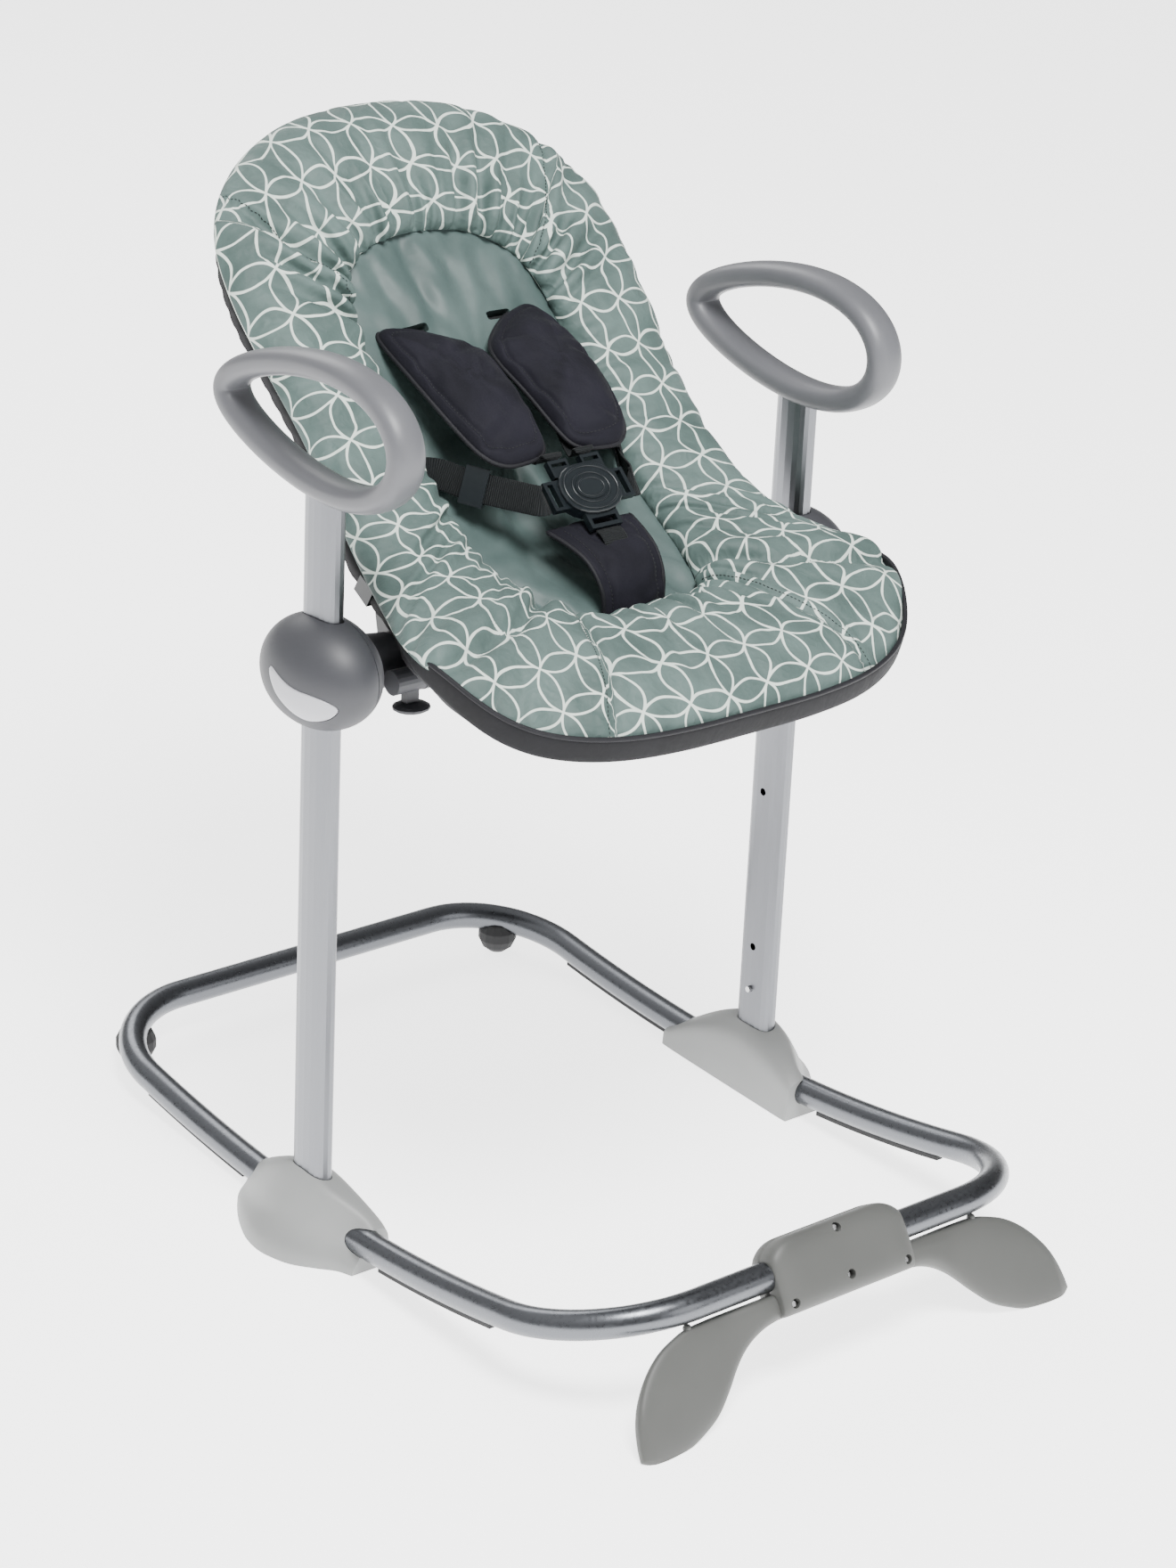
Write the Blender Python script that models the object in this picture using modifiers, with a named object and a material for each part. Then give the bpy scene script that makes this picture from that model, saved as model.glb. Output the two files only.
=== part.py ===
"""Height-adjustable baby bouncer: rocking tube base, two oval posts and a padded seat.

Run with: blender --background --python part.py
Units are metres, +Z is up and the front of the seat faces -Y.
"""
import math

import bmesh
import bpy
import numpy as np
from mathutils import Matrix, Vector

# Fits
GAP = 0.0003
SLIDE_GAP = 0.0005

# Stance: the swung-down front foot tips the whole bouncer back on its rear feet
STANCE_ANGLE = math.radians(2.8)
STANCE_SHIFT_Y = 0.0278

# Base tube: one closed loop of round tube, its side rails bent as rockers
TUBE_RADIUS = 0.0125
RAIL_HEIGHT = 0.019
FRONT_RISE = 0.378
BACK_RISE = 0.29
BASE_FRONT = 0.369
BASE_BACK = 0.3525
FRONT_HALF_WIDTH = 0.2495
BACK_HALF_WIDTH = 0.2406
FRONT_CORNER = 0.104
BACK_CORNER = 0.096
CORNER_STEPS = 7
RAIL_STEPS = 9
BASE_SIDES_RESOLUTION = 3

# Grip strips under the side rails
STRIP_WIDTH = 0.007
STRIP_HEIGHT = 0.004
FRONT_STRIP_SPAN = (-0.245, -0.0935)
BACK_STRIP_SPAN = (0.106, 0.255)

# Rear feet
REAR_FOOT_RADIUS = 0.0188
REAR_FOOT_CORNER_ANGLE = math.radians(48)
FOOT_FLAT_DEPTH = 0.0005

# Posts: oval tube with the long axis front to back
POST_SPACING = 0.5
POST_HALF_THICK = 0.0105
POST_HALF_DEEP = 0.021
POST_WALL = 0.0016
POST_ROUNDNESS = 2.5
POST_FOOT = RAIL_HEIGHT + TUBE_RADIUS + 2 * GAP
POST_TOP = 0.6585
LATCH_HOLE_HEIGHTS = (0.138, 0.290, 0.4885)
LATCH_HOLE_RADIUS = 0.0035
STOP_PIN_HEIGHT = 0.096
STOP_PIN_RADIUS = 0.0028
STOP_PIN_REACH = 0.0032
RIVET_HEIGHTS = (0.601, 0.634)
RIVET_HEAD_RADIUS = 0.0028
RIVET_SHANK_RADIUS = 0.0015
RIVET_REACH = 0.0055

# Post housings on the rails
HOUSING_INNER_X = 0.2225
HOUSING_STATIONS = ((-0.0745, 0.0345, 0.2635), (-0.062, 0.0415, 0.2685), (-0.048, 0.0490, 0.2815),
                    (-0.032, 0.0560, 0.2950), (-0.015, 0.0615, 0.3020), (0.002, 0.0640, 0.3050),
                    (0.022, 0.0610, 0.3025), (0.042, 0.0540, 0.2950), (0.060, 0.0450, 0.2855),
                    (0.076, 0.0350, 0.2750), (0.088, 0.0270, 0.2655), (0.098, 0.0210, 0.2530))

# Ring handles: upright egg-shaped loops over the post tops
RING_CENTRE_Y = 0.0135
RING_CENTRE_Z = 0.711
RING_HALF_LENGTH = 0.115
RING_HALF_HEIGHT = 0.047
RING_EGG = 0.27
RING_STRAP_WIDTH = 0.032
RING_STRAP_THICK = 0.022
RING_STEPS = 24
RING_SOCKET_TOP = POST_TOP + GAP
PLUG_BOTTOM = 0.590

# Hubs: split shells that slide on the posts
HUB_OFFSET_X = 0.003
HUB_CENTRE_Y = -0.003
HUB_CENTRE_Z = 0.5105
HUB_HALF = (0.043, 0.060, 0.047)
HUB_WALL = 0.003
HUB_SEAM_X = 0.2375
SLEEVE_WALL = 0.0025
SLEEVE_HALF_HEIGHT = 0.033
LATCH_HEIGHT = LATCH_HOLE_HEIGHTS[-1]
LATCH_PIN_RADIUS = 0.003
LATCH_TRAVEL = 0.004
YOKE_THICK = 0.004
YOKE_HALF_LENGTH = 0.0345
YOKE_BAR = 0.0050
STEM_SPAN = (-0.033, -0.019)
BUTTON_PROUD = 0.0012
BUTTON_THICK = 0.0032
BUTTON_OUTLINE = ((0.0085, 0.5195), (-0.0175, 0.5105), (-0.0425, 0.5060), (-0.0530, 0.4985),
                  (-0.0460, 0.4885), (-0.0328, 0.4825), (-0.0205, 0.4835), (-0.0075, 0.4925),
                  (0.0030, 0.5040))

# Recline pivot between each hub and the seat
PIVOT_Y = 0.002
PIVOT_Z = 0.505
BOSS_ROOT_RADIUS = 0.026
BOSS_TIP_RADIUS = 0.021
BOSS_ROOT_X = 0.2215
BOSS_TIP_X = 0.1795
PIVOT_PIN_RADIUS = 0.005
PIVOT_HEAD_RADIUS = 0.009
PIVOT_HEAD_THICK = 0.003
BRACKET_OUTER_X = BOSS_TIP_X - SLIDE_GAP
BRACKET_THICK = 0.005
BRACKET_RADIUS = 0.021
BRACKET_ARM_HALF_WIDTH = 0.012
BRACKET_SLOT_ROOM = 0.004
CLAMP_S = 0.272
CLAMP_HALF_LENGTH = 0.010
CLAMP_WALL = 0.003
LEVER_EAR_RADIUS = 0.0110
LEVER_STUB_RADIUS = 0.0045
LEVER_STUB_LENGTH = 0.010
LEVER_AXIS_Y = -0.0365
LEVER_AXIS_Z = 0.501
LEVER_TUBE_RADIUS = 0.0105
LEVER_INNER_X = BRACKET_OUTER_X + GAP
LEVER_OUTER_X = 0.2085
LEVER_PAD_DROP = 0.0235
LEVER_PAD_HALF = (0.0165, 0.0150, 0.0042)

# Seat: a hammock profile of pan, knee arc and backrest, with a flat pattern laid on it
KNEE_Y = 0.020
KNEE_Z = 0.578
KNEE_RADIUS = 0.30
PAN_SLOPE = math.radians(18)
BACK_SLOPE = math.radians(46.5)
PAN_LENGTH = 0.284
SIDE_LIFT = 0.020
SIDE_LIFT_S = 0.125
SIDE_LIFT_SPREAD = 0.070
SIDE_LIFT_FROM, SIDE_LIFT_TO = 0.14, 0.24
SEAT_OUTLINE = ((0.0, 0.014), (0.070, 0.015), (0.128, 0.0225), (0.175, 0.040), (0.2085, 0.066),
                (0.2325, 0.103), (0.241, 0.140), (0.230, 0.183), (0.2145, 0.228), (0.2045, 0.275),
                (0.1975, 0.330), (0.196, 0.400), (0.2015, 0.470), (0.2045, 0.523),
                (0.200, 0.570), (0.1875, 0.607), (0.164, 0.640), (0.127, 0.670),
                (0.0725, 0.692), (0.0, 0.700))
OPENING_OUTLINE = ((0.0, 0.1620), (0.034, 0.1635), (0.053, 0.184), (0.079, 0.214), (0.094, 0.260),
                   (0.0975, 0.330), (0.0985, 0.400), (0.1025, 0.465), (0.0975, 0.512), (0.082, 0.540),
                   (0.050, 0.560), (0.0, 0.567))
BORDER_CREST = 0.028
FRONT_CREST = 0.035
HEAD_CREST = 0.026
BORDER_EDGE = 0.004
BORDER_BOTTOM = 0.0115
BORDER_STATIONS = 68
BORDER_SIDES = 10
GATHER_DEPTH = 0.0022
COVER_OUTLINE = ((0.0, 0.017), (0.070, 0.018), (0.126, 0.0255), (0.172, 0.043), (0.205, 0.069),
                 (0.2295, 0.105), (0.2375, 0.140), (0.227, 0.178), (0.2145, 0.205),
                 (0.2052, 0.228), (0.2028, 0.275), (0.201, 0.305), (0.195, 0.335),
                 (0.1935, 0.400), (0.199, 0.470), (0.202, 0.520), (0.197, 0.567),
                 (0.1845, 0.603), (0.161, 0.636), (0.124, 0.666), (0.071, 0.689), (0.0, 0.697))
COVER_CLEARANCE = 0.0028
COVER_THICK = 0.005
COVER_REACH = 0.0235
FRAME_OUTLINE = ((0.0, 0.0435), (0.065, 0.0445), (0.116, 0.051), (0.155, 0.066), (0.183, 0.0885),
                 (0.2020, 0.116), (0.2045, 0.146), (0.194, 0.178), (0.1870, 0.213),
                 (0.186, 0.245), (0.1868, 0.272), (0.182, 0.305), (0.1775, 0.345),
                 (0.176, 0.400), (0.1805, 0.470), (0.1835, 0.520), (0.1795, 0.565),
                 (0.169, 0.5965), (0.148, 0.626), (0.115, 0.6505), (0.0675, 0.6695), (0.0, 0.6775))
FRAME_CLAMP_X = 0.1868
FRAME_RADIUS = 0.0075
FRAME_DEPTH = -0.0210
FRAME_STATIONS = 38
COVER_TOP = FRAME_DEPTH - FRAME_RADIUS - 0.0025
COVER_BOTTOM = COVER_TOP - COVER_THICK
INSERT_TOP = -0.0065
INSERT_HOLLOW = 0.012
INSERT_BOTTOM = COVER_TOP + 0.0018
STRAP_SLOT_S = 0.478

# Harness
BUCKLE_CENTRE = (0.0, -0.0215, 0.6210)
BUCKLE_SLOPE = math.radians(42.5)
BUCKLE_HALF = (0.030, 0.0235, 0.0065)
BUCKLE_BUTTON_HALF = (0.0155, 0.0110)
BUCKLE_BUTTON_THICK = 0.004
PRONG_REACH = 0.012
UPPER_PRONG_X = 0.017
UPPER_PRONG_REACH = 0.008
WEBBING_WIDTH = 0.025
WEBBING_THICK = 0.0018
SHOULDER_TOP = (0.044, 0.148, 0.713)
SHOULDER_BOTTOM = (0.044, 0.0115, 0.642)
SHOULDER_OUTLINE = ((0.040, 0.004), (0.042, 0.050), (0.041, 0.095), (0.033, 0.135), (0.018, 0.152),
                    (-0.004, 0.154), (-0.026, 0.148), (-0.034, 0.128), (-0.038, 0.085), (-0.040, 0.046),
                    (-0.030, 0.034), (0.000, 0.018), (0.024, 0.006))
SHOULDER_PAD_THICK = 0.020
SHOULDER_PAD_ARCH = 0.006
SHOULDER_WEBBING_WIDTH = 0.020
CROTCH_PATH = ((-0.0860, 0.5360), (-0.0830, 0.5600), (-0.0690, 0.5785), (-0.0480, 0.5880),
               (-0.0240, 0.5940))
CROTCH_PAD_HALF_WIDTHS = (0.031, 0.044)
CROTCH_PAD_THICK = 0.011
PAD_UNDERSIDE = 0.0035
STRAP_UNDER_PAD = PAD_UNDERSIDE + WEBBING_THICK / 2 + 2 * SLIDE_GAP
WAIST_STRAP_WIDTHWAYS = (0.0, 0.55, 0.83)

# Front foot: a leaf-bladed pedal clamped round the front tube
FOOT_LEAN = math.radians(31)
BLOCK_HALF_WIDTH = 0.072
BLOCK_TOP = 0.026
BLOCK_HALF_DEPTH = 0.0185
BLOCK_FOOT = 0.0355
BLOCK_SEAM = 0.00015
FOOT_BLADE_BACK = -0.011
FOOT_BLADE_FRONT = 0.002
FOOT_UPPER_EDGE = ((0.074, 0.0150), (0.100, 0.0150), (0.135, 0.0150), (0.157, 0.0160),
                   (0.172, 0.0195), (0.190, 0.0265), (0.207, 0.0385), (0.221, 0.0545),
                   (0.230, 0.0710), (0.2345, 0.0870), (0.2360, 0.0975))
FOOT_LOWER_EDGE = ((0.074, 0.0360), (0.088, 0.0385), (0.102, 0.0440), (0.114, 0.0520),
                   (0.124, 0.0615), (0.136, 0.0745), (0.152, 0.0890), (0.170, 0.0985),
                   (0.190, 0.1055), (0.212, 0.1090), (0.226, 0.1070), (0.2360, 0.1015))
FOOT_SCREWS = ((0.0, -0.0190), (0.0, 0.0205), (-0.062, 0.0265), (0.062, 0.0265))
FOOT_SCREW_HEAD_RADIUS = 0.0032
FOOT_SCREW_RECESS_RADIUS = 0.0040
FOOT_SCREW_SHANK_RADIUS = 0.0016
NUB_X = 0.157
NUB_RADIUS = 0.0034

OBJECT_NAME = "baby_bouncer"


def clear_scene():
    for obj in list(bpy.data.objects):
        bpy.data.objects.remove(obj, do_unlink=True)


def new_collection(name):
    collection = bpy.data.collections.new(name)
    bpy.context.scene.collection.children.link(collection)
    return collection


def make_material(name, colour, roughness, metallic=0.0):
    material = bpy.data.materials.new(name)
    material.use_nodes = True
    shader = material.node_tree.nodes["Principled BSDF"]
    shader.inputs["Base Color"].default_value = (*colour, 1.0)
    shader.inputs["Roughness"].default_value = roughness
    shader.inputs["Metallic"].default_value = metallic
    return material


clear_scene()
PARTS = new_collection(OBJECT_NAME)
CUTTERS = new_collection("cutters")

ALUMINIUM = make_material("satin_aluminium", (0.78, 0.79, 0.81), 0.32, 1.0)
STEEL = make_material("bright_steel", (0.70, 0.70, 0.72), 0.25, 1.0)
HUB_PLASTIC = make_material("hub_plastic", (0.17, 0.17, 0.19), 0.42)
RING_PLASTIC = make_material("ring_plastic", (0.36, 0.36, 0.38), 0.45)
HOUSING_PLASTIC = make_material("housing_plastic", (0.40, 0.42, 0.41), 0.5)
FOOT_PLASTIC = make_material("foot_plastic", (0.30, 0.31, 0.29), 0.5)
BUTTON_PLASTIC = make_material("button_plastic", (0.52, 0.52, 0.55), 0.35)
BLACK_PLASTIC = make_material("black_plastic", (0.015, 0.017, 0.02), 0.35)
RUBBER = make_material("black_rubber", (0.02, 0.02, 0.02), 0.8)
CHARCOAL_CLOTH = make_material("charcoal_cloth", (0.05, 0.05, 0.065), 0.85)
SAGE_PRINT = make_material("sage_print_cloth", (0.20, 0.31, 0.28), 0.8)
SAGE_SATIN = make_material("sage_satin_cloth", (0.17, 0.27, 0.25), 0.6)
WEBBING = make_material("black_webbing", (0.01, 0.015, 0.017), 0.75)

STANCE = bpy.data.objects.new("stance", None)
PARTS.objects.link(STANCE)
STANCE.location = (0.0, STANCE_SHIFT_Y, 0.0)
STANCE.rotation_euler = (-STANCE_ANGLE, 0.0, 0.0)


def shade_round(mesh, angle=40):
    mesh.shade_smooth()
    mesh.set_sharp_from_angle(angle=math.radians(angle))


def add_part(name, mesh, material, location=(0.0, 0.0, 0.0)):
    """Adds a mesh as a named part; the mesh holds points relative to the location."""
    mesh.materials.clear()
    mesh.materials.append(material)
    shade_round(mesh)
    obj = bpy.data.objects.new(name, mesh)
    obj.location = location
    obj.parent = STANCE
    PARTS.objects.link(obj)
    return obj


def face_outward(bm):
    bmesh.ops.recalc_face_normals(bm, faces=bm.faces)
    closed = not any(edge.is_boundary for edge in bm.edges)
    if closed and bm.calc_volume(signed=True) < 0:
        bmesh.ops.reverse_faces(bm, faces=bm.faces)


def mesh_from_bmesh(name, bm, transform=None):
    if transform is not None:
        bm.transform(transform)
    face_outward(bm)
    mesh = bpy.data.meshes.new(name)
    bm.to_mesh(mesh)
    bm.free()
    return mesh


def loft_mesh(name, rings, closed=False):
    """Joins rings of points with quads; an open loft gets a flat cap at each end."""
    rings = np.asarray(rings, dtype=float)
    count, size = rings.shape[:2]
    index = np.arange(count * size).reshape(count, size)
    steps = count if closed else count - 1
    faces = []
    for i in range(steps):
        near, far = index[i], index[(i + 1) % count]
        for j in range(size):
            k = (j + 1) % size
            faces.append((near[j], near[k], far[k], far[j]))
    if not closed:
        faces.append(tuple(index[0][::-1]))
        faces.append(tuple(index[-1]))
    mesh = bpy.data.meshes.new(name)
    mesh.from_pydata([tuple(p) for p in rings.reshape(-1, 3)], [],
                     [tuple(int(v) for v in face) for face in faces])
    bm = bmesh.new()
    bm.from_mesh(mesh)
    face_outward(bm)
    bm.to_mesh(mesh)
    bm.free()
    return mesh


def curve_mesh(curve, name):
    """Turns a curve into a welded mesh and removes the curve."""
    obj = bpy.data.objects.new(name + "_curve", curve)
    PARTS.objects.link(obj)
    graph = bpy.context.evaluated_depsgraph_get()
    mesh = bpy.data.meshes.new_from_object(obj.evaluated_get(graph))
    bpy.data.objects.remove(obj, do_unlink=True)
    bpy.data.curves.remove(curve)
    bm = bmesh.new()
    bm.from_mesh(mesh)
    bmesh.ops.remove_doubles(bm, verts=bm.verts, dist=0.00002)
    face_outward(bm)
    bm.to_mesh(mesh)
    bm.free()
    return mesh


def tube_mesh(name, points, radius, resolution=2, cyclic=False):
    """A round bar along a list of points."""
    curve = bpy.data.curves.new(name, "CURVE")
    curve.dimensions = "3D"
    curve.bevel_depth = radius
    curve.bevel_resolution = resolution
    curve.use_fill_caps = not cyclic
    curve.twist_mode = "MINIMUM"
    spline = curve.splines.new("POLY")
    spline.points.add(len(points) - 1)
    for point, place in zip(spline.points, points):
        point.co = (*place, 1.0)
    spline.use_cyclic_u = cyclic
    return curve_mesh(curve, name)


def plate_mesh(name, outlines, thickness):
    """A flat plate in the XY plane, centred on it; the first outline is the edge, others are holes."""
    curve = bpy.data.curves.new(name, "CURVE")
    curve.dimensions = "2D"
    curve.fill_mode = "BOTH"
    curve.extrude = thickness / 2
    for outline in outlines:
        spline = curve.splines.new("POLY")
        spline.points.add(len(outline) - 1)
        for point, (u, v) in zip(spline.points, outline):
            point.co = (u, v, 0.0, 1.0)
        spline.use_cyclic_u = True
    return curve_mesh(curve, name)


def cylinder_mesh(name, radius, length, tip_radius=None, segments=24):
    """A cylinder or cone frustum along Z, from 0 to its length."""
    bm = bmesh.new()
    bmesh.ops.create_cone(bm, cap_ends=True, segments=segments, radius1=radius,
                          radius2=radius if tip_radius is None else tip_radius, depth=length,
                          matrix=Matrix.Translation((0.0, 0.0, length / 2)))
    return mesh_from_bmesh(name, bm)


def box_mesh(name, low, high):
    bm = bmesh.new()
    size = Vector(high) - Vector(low)
    middle = (Vector(high) + Vector(low)) / 2
    bmesh.ops.create_cube(bm, size=1.0, matrix=Matrix.Translation(middle) @ Matrix.Diagonal((*size, 1.0)))
    return mesh_from_bmesh(name, bm)


def along_x(side=1):
    """Turns a shape built along +Z so that it runs along +X, or -X for side -1."""
    return Matrix.Rotation(math.radians(90 * side), 4, "Y")


def placed(mesh, *matrices):
    for matrix in matrices:
        mesh.transform(matrix)
    if matrices and np.linalg.det(np.array(matrices[0].to_3x3())) < 0:
        mesh.flip_normals()
    return mesh


def joined_mesh(name, meshes):
    """Puts separate closed shapes into one mesh."""
    bm = bmesh.new()
    for mesh in meshes:
        bm.from_mesh(mesh)
    return mesh_from_bmesh(name, bm)


def boolean(part, meshes, operation):
    """Cuts or joins a part with other meshes given in the part's own coordinates."""
    for number, mesh in enumerate(meshes):
        tool = bpy.data.objects.new(f"{part.name}_{operation.lower()}_{number}", mesh)
        CUTTERS.objects.link(tool)
        tool.parent = part
        tool.hide_render = True
        tool.display_type = "WIRE"
        modifier = part.modifiers.new(tool.name, "BOOLEAN")
        modifier.operation = operation
        modifier.solver = "EXACT"
        modifier.object = tool


def cut(part, *meshes):
    boolean(part, meshes, "DIFFERENCE")


def unite(part, *meshes):
    boolean(part, meshes, "UNION")


def oval(half_x, half_y, roundness=2.0, count=20):
    """A closed superellipse in the XY plane."""
    points = []
    for i in range(count):
        angle = 2 * math.pi * i / count
        c, s = math.cos(angle), math.sin(angle)
        points.append((half_x * math.copysign(abs(c) ** (2 / roundness), c),
                       half_y * math.copysign(abs(s) ** (2 / roundness), s)))
    return points


def smooth_curve(points, count, closed=False):
    """A Catmull-Rom curve through the points, resampled at even steps of length."""
    points = np.asarray(points, dtype=float)
    if closed:
        padded = np.vstack([points[-1], points, points[0], points[1]])
    else:
        padded = np.vstack([2 * points[0] - points[1], points, 2 * points[-1] - points[-2]])
    dense = []
    t = np.linspace(0, 1, 24, endpoint=False)[:, None]
    for a, b, c, d in zip(padded[:-3], padded[1:-2], padded[2:-1], padded[3:]):
        dense.append(0.5 * (2 * b + (c - a) * t + (2 * a - 5 * b + 4 * c - d) * t ** 2
                            + (3 * b - a - 3 * c + d) * t ** 3))
    dense = np.vstack(dense + ([points[:1]] if closed else [points[-1:]]))
    run = np.concatenate([[0], np.cumsum(np.linalg.norm(np.diff(dense, axis=0), axis=1))])
    wanted = np.linspace(0, run[-1], count + 1)[:-1] if closed else np.linspace(0, run[-1], count)
    return np.stack([np.interp(wanted, run, dense[:, axis]) for axis in range(dense.shape[1])], axis=1)


def floor_height(y):
    """Height of the floor under the tipped bouncer, in the posts' own upright frame."""
    return y * math.tan(STANCE_ANGLE)


def trim(bm, point, normal):
    """Cuts a closed shape off behind a plane and closes it there."""
    bmesh.ops.bisect_plane(bm, geom=bm.verts[:] + bm.edges[:] + bm.faces[:], dist=1e-7,
                           plane_co=point, plane_no=normal, clear_inner=True)
    bmesh.ops.holes_fill(bm, edges=[edge for edge in bm.edges if edge.is_boundary], sides=0)


def cut_at_floor(bm):
    """Trims a shape flat where it stands on the floor."""
    trim(bm, (0.0, 0.0, 0.0), (0.0, -math.sin(STANCE_ANGLE), math.cos(STANCE_ANGLE)))


# Base tube

def rail_height(y):
    rise = FRONT_RISE if y < 0 else BACK_RISE
    return RAIL_HEIGHT + rise * y * y


def rail_x(y):
    """Distance of a straight side rail from the middle, as the loop narrows to the back."""
    front, back = -BASE_FRONT + FRONT_CORNER, BASE_BACK - BACK_CORNER
    share = (y - front) / (back - front)
    return FRONT_HALF_WIDTH + (BACK_HALF_WIDTH - FRONT_HALF_WIDTH) * share


def base_half_path():
    """Plan points of the right half of the loop, from the middle of the front to that of the back."""
    plan = [(x, -BASE_FRONT) for x in np.linspace(0.0, FRONT_HALF_WIDTH - FRONT_CORNER, 4)]
    for angle in np.linspace(-90, 0, CORNER_STEPS + 1)[1:]:
        a = math.radians(angle)
        plan.append((FRONT_HALF_WIDTH - FRONT_CORNER * (1 - math.cos(a)),
                     -BASE_FRONT + FRONT_CORNER * (1 + math.sin(a))))
    for y in np.linspace(-BASE_FRONT + FRONT_CORNER, BASE_BACK - BACK_CORNER, RAIL_STEPS)[1:]:
        plan.append((rail_x(y), y))
    for angle in np.linspace(0, 90, CORNER_STEPS + 1)[1:]:
        a = math.radians(angle)
        plan.append((BACK_HALF_WIDTH - BACK_CORNER * (1 - math.cos(a)),
                     BASE_BACK - BACK_CORNER * (1 - math.sin(a))))
    plan += [(x, BASE_BACK) for x in np.linspace(BACK_HALF_WIDTH - BACK_CORNER, 0.0, 4)[1:]]
    return plan


def base_path():
    half = base_half_path()
    loop = half + [(-x, y) for x, y in half[-2:0:-1]]
    return [(x, y, rail_height(y)) for x, y in loop]


def base_tube_mesh(name, radius):
    return tube_mesh(name, base_path(), radius, BASE_SIDES_RESOLUTION, cyclic=True)


def make_base_tube():
    add_part("base_tube", base_tube_mesh("base_tube", TUBE_RADIUS), ALUMINIUM)


def make_grip_strips(side, word):
    for place, (start, end) in (("front", FRONT_STRIP_SPAN), ("back", BACK_STRIP_SPAN)):
        rings = []
        for y in np.linspace(start, end, 9):
            top = rail_height(y) - TUBE_RADIUS - 1.5 * GAP
            x = side * rail_x(y)
            half = STRIP_WIDTH / 2
            rings.append([(x - half, y, top), (x + half, y, top),
                          (x + half, y, top - STRIP_HEIGHT), (x - half, y, top - STRIP_HEIGHT)])
        name = f"{word}_{place}_grip_strip"
        add_part(name, loft_mesh(name, rings), RUBBER)


def make_rear_foot(side, name):
    angle = REAR_FOOT_CORNER_ANGLE
    x = BACK_HALF_WIDTH - BACK_CORNER * (1 - math.cos(angle))
    y = BASE_BACK - BACK_CORNER * (1 - math.sin(angle))
    centre_z = floor_height(y) + REAR_FOOT_RADIUS - FOOT_FLAT_DEPTH
    bm = bmesh.new()
    bmesh.ops.create_uvsphere(bm, u_segments=14, v_segments=7, radius=REAR_FOOT_RADIUS,
                              matrix=Matrix.Translation((side * x, y, centre_z)))
    trim(bm, (0.0, 0.0, rail_height(y)), (0.0, 0.0, -1.0))
    cut_at_floor(bm)
    foot = add_part(name, mesh_from_bmesh(name, bm), RUBBER)
    cut(foot, base_tube_mesh("rear_foot_channel", TUBE_RADIUS + GAP))


# Post housings

def housing_section(y, top, bottom, outer):
    """Arch across the rail: straight inner side, round top, scooped outer side."""
    inner = HOUSING_INNER_X
    ridge = inner + 0.42 * (outer - inner)
    arch = smooth_curve([(inner, bottom), (inner + 0.0015, bottom + 0.45 * (top - bottom)),
                         (inner + 0.22 * (ridge - inner), bottom + 0.86 * (top - bottom)),
                         (ridge - 0.004, top), (ridge + 0.10 * (outer - inner), top - 0.03 * (top - bottom)),
                         (inner + 0.68 * (outer - inner), bottom + 0.70 * (top - bottom)),
                         (inner + 0.80 * (outer - inner), bottom + 0.44 * (top - bottom)),
                         (inner + 0.95 * (outer - inner), bottom + 0.24 * (top - bottom)),
                         (outer, bottom + 0.02 * (top - bottom)), (outer - 0.002, bottom)], 13)
    return [(x, y, z) for x, z in arch]


def make_post_housing(side, name):
    rings = []
    stations = smooth_curve(HOUSING_STATIONS, 13)
    for y, top, outer in stations:
        bottom = min(floor_height(y), 0.0) - 0.006
        rings.append([(side * x, ry, z) for x, ry, z in housing_section(y, top, bottom, outer)])
    mesh = loft_mesh(name, rings)
    bm = bmesh.new()
    bm.from_mesh(mesh)
    cut_at_floor(bm)
    housing = add_part(name, mesh_from_bmesh(name, bm), HOUSING_PLASTIC)
    cut(housing, base_tube_mesh(name + "_bore", TUBE_RADIUS + GAP), post_mesh(side, POST_FOOT - GAP,
                                                                             0.12, GAP))


# Posts

def post_outline(grow=0.0):
    return oval(POST_HALF_THICK + grow, POST_HALF_DEEP + grow, POST_ROUNDNESS)


def post_mesh(side, bottom, top, grow=0.0, hollow=None):
    """An oval bar or tube that stands on one post's line."""
    outlines = [post_outline(grow)]
    if hollow is not None:
        outlines.append(post_outline(hollow))
    mesh = plate_mesh("oval", outlines, top - bottom)
    return placed(mesh, Matrix.Translation((side * POST_SPACING / 2, 0.0, (top + bottom) / 2)))


def cross_pin(side, radius, start_x, end_x, y, z, segments=12):
    """A round bar along X between two distances from the middle."""
    mesh = cylinder_mesh("cross_pin", radius, end_x - start_x, segments=segments)
    return placed(mesh, along_x(side), Matrix.Translation((side * start_x, y, z)))


def make_post(side, name):
    post = add_part(name, post_mesh(side, POST_FOOT, POST_TOP, hollow=-POST_WALL), ALUMINIUM)
    inner_face = POST_SPACING / 2 - POST_HALF_THICK
    holes = [cross_pin(side, LATCH_HOLE_RADIUS, inner_face - 0.004, inner_face + 0.006, 0.0, z)
             for z in LATCH_HOLE_HEIGHTS]
    holes.append(cross_pin(side, STOP_PIN_RADIUS + GAP, inner_face - 0.004, inner_face + 0.006,
                           0.0, STOP_PIN_HEIGHT))
    for z in RIVET_HEIGHTS:
        holes.append(rivet_shank(side, z, RIVET_SHANK_RADIUS + GAP, POST_HALF_DEEP - 0.006))
    cut(post, joined_mesh("post_holes", holes))


def rivet_shank(side, z, radius, start_y):
    mesh = cylinder_mesh("rivet_shank", radius, POST_HALF_DEEP + 0.003 - start_y, segments=12)
    return placed(mesh, Matrix.Rotation(math.radians(-90), 4, "X"),
                  Matrix.Translation((side * POST_SPACING / 2, start_y, z)))


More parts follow.
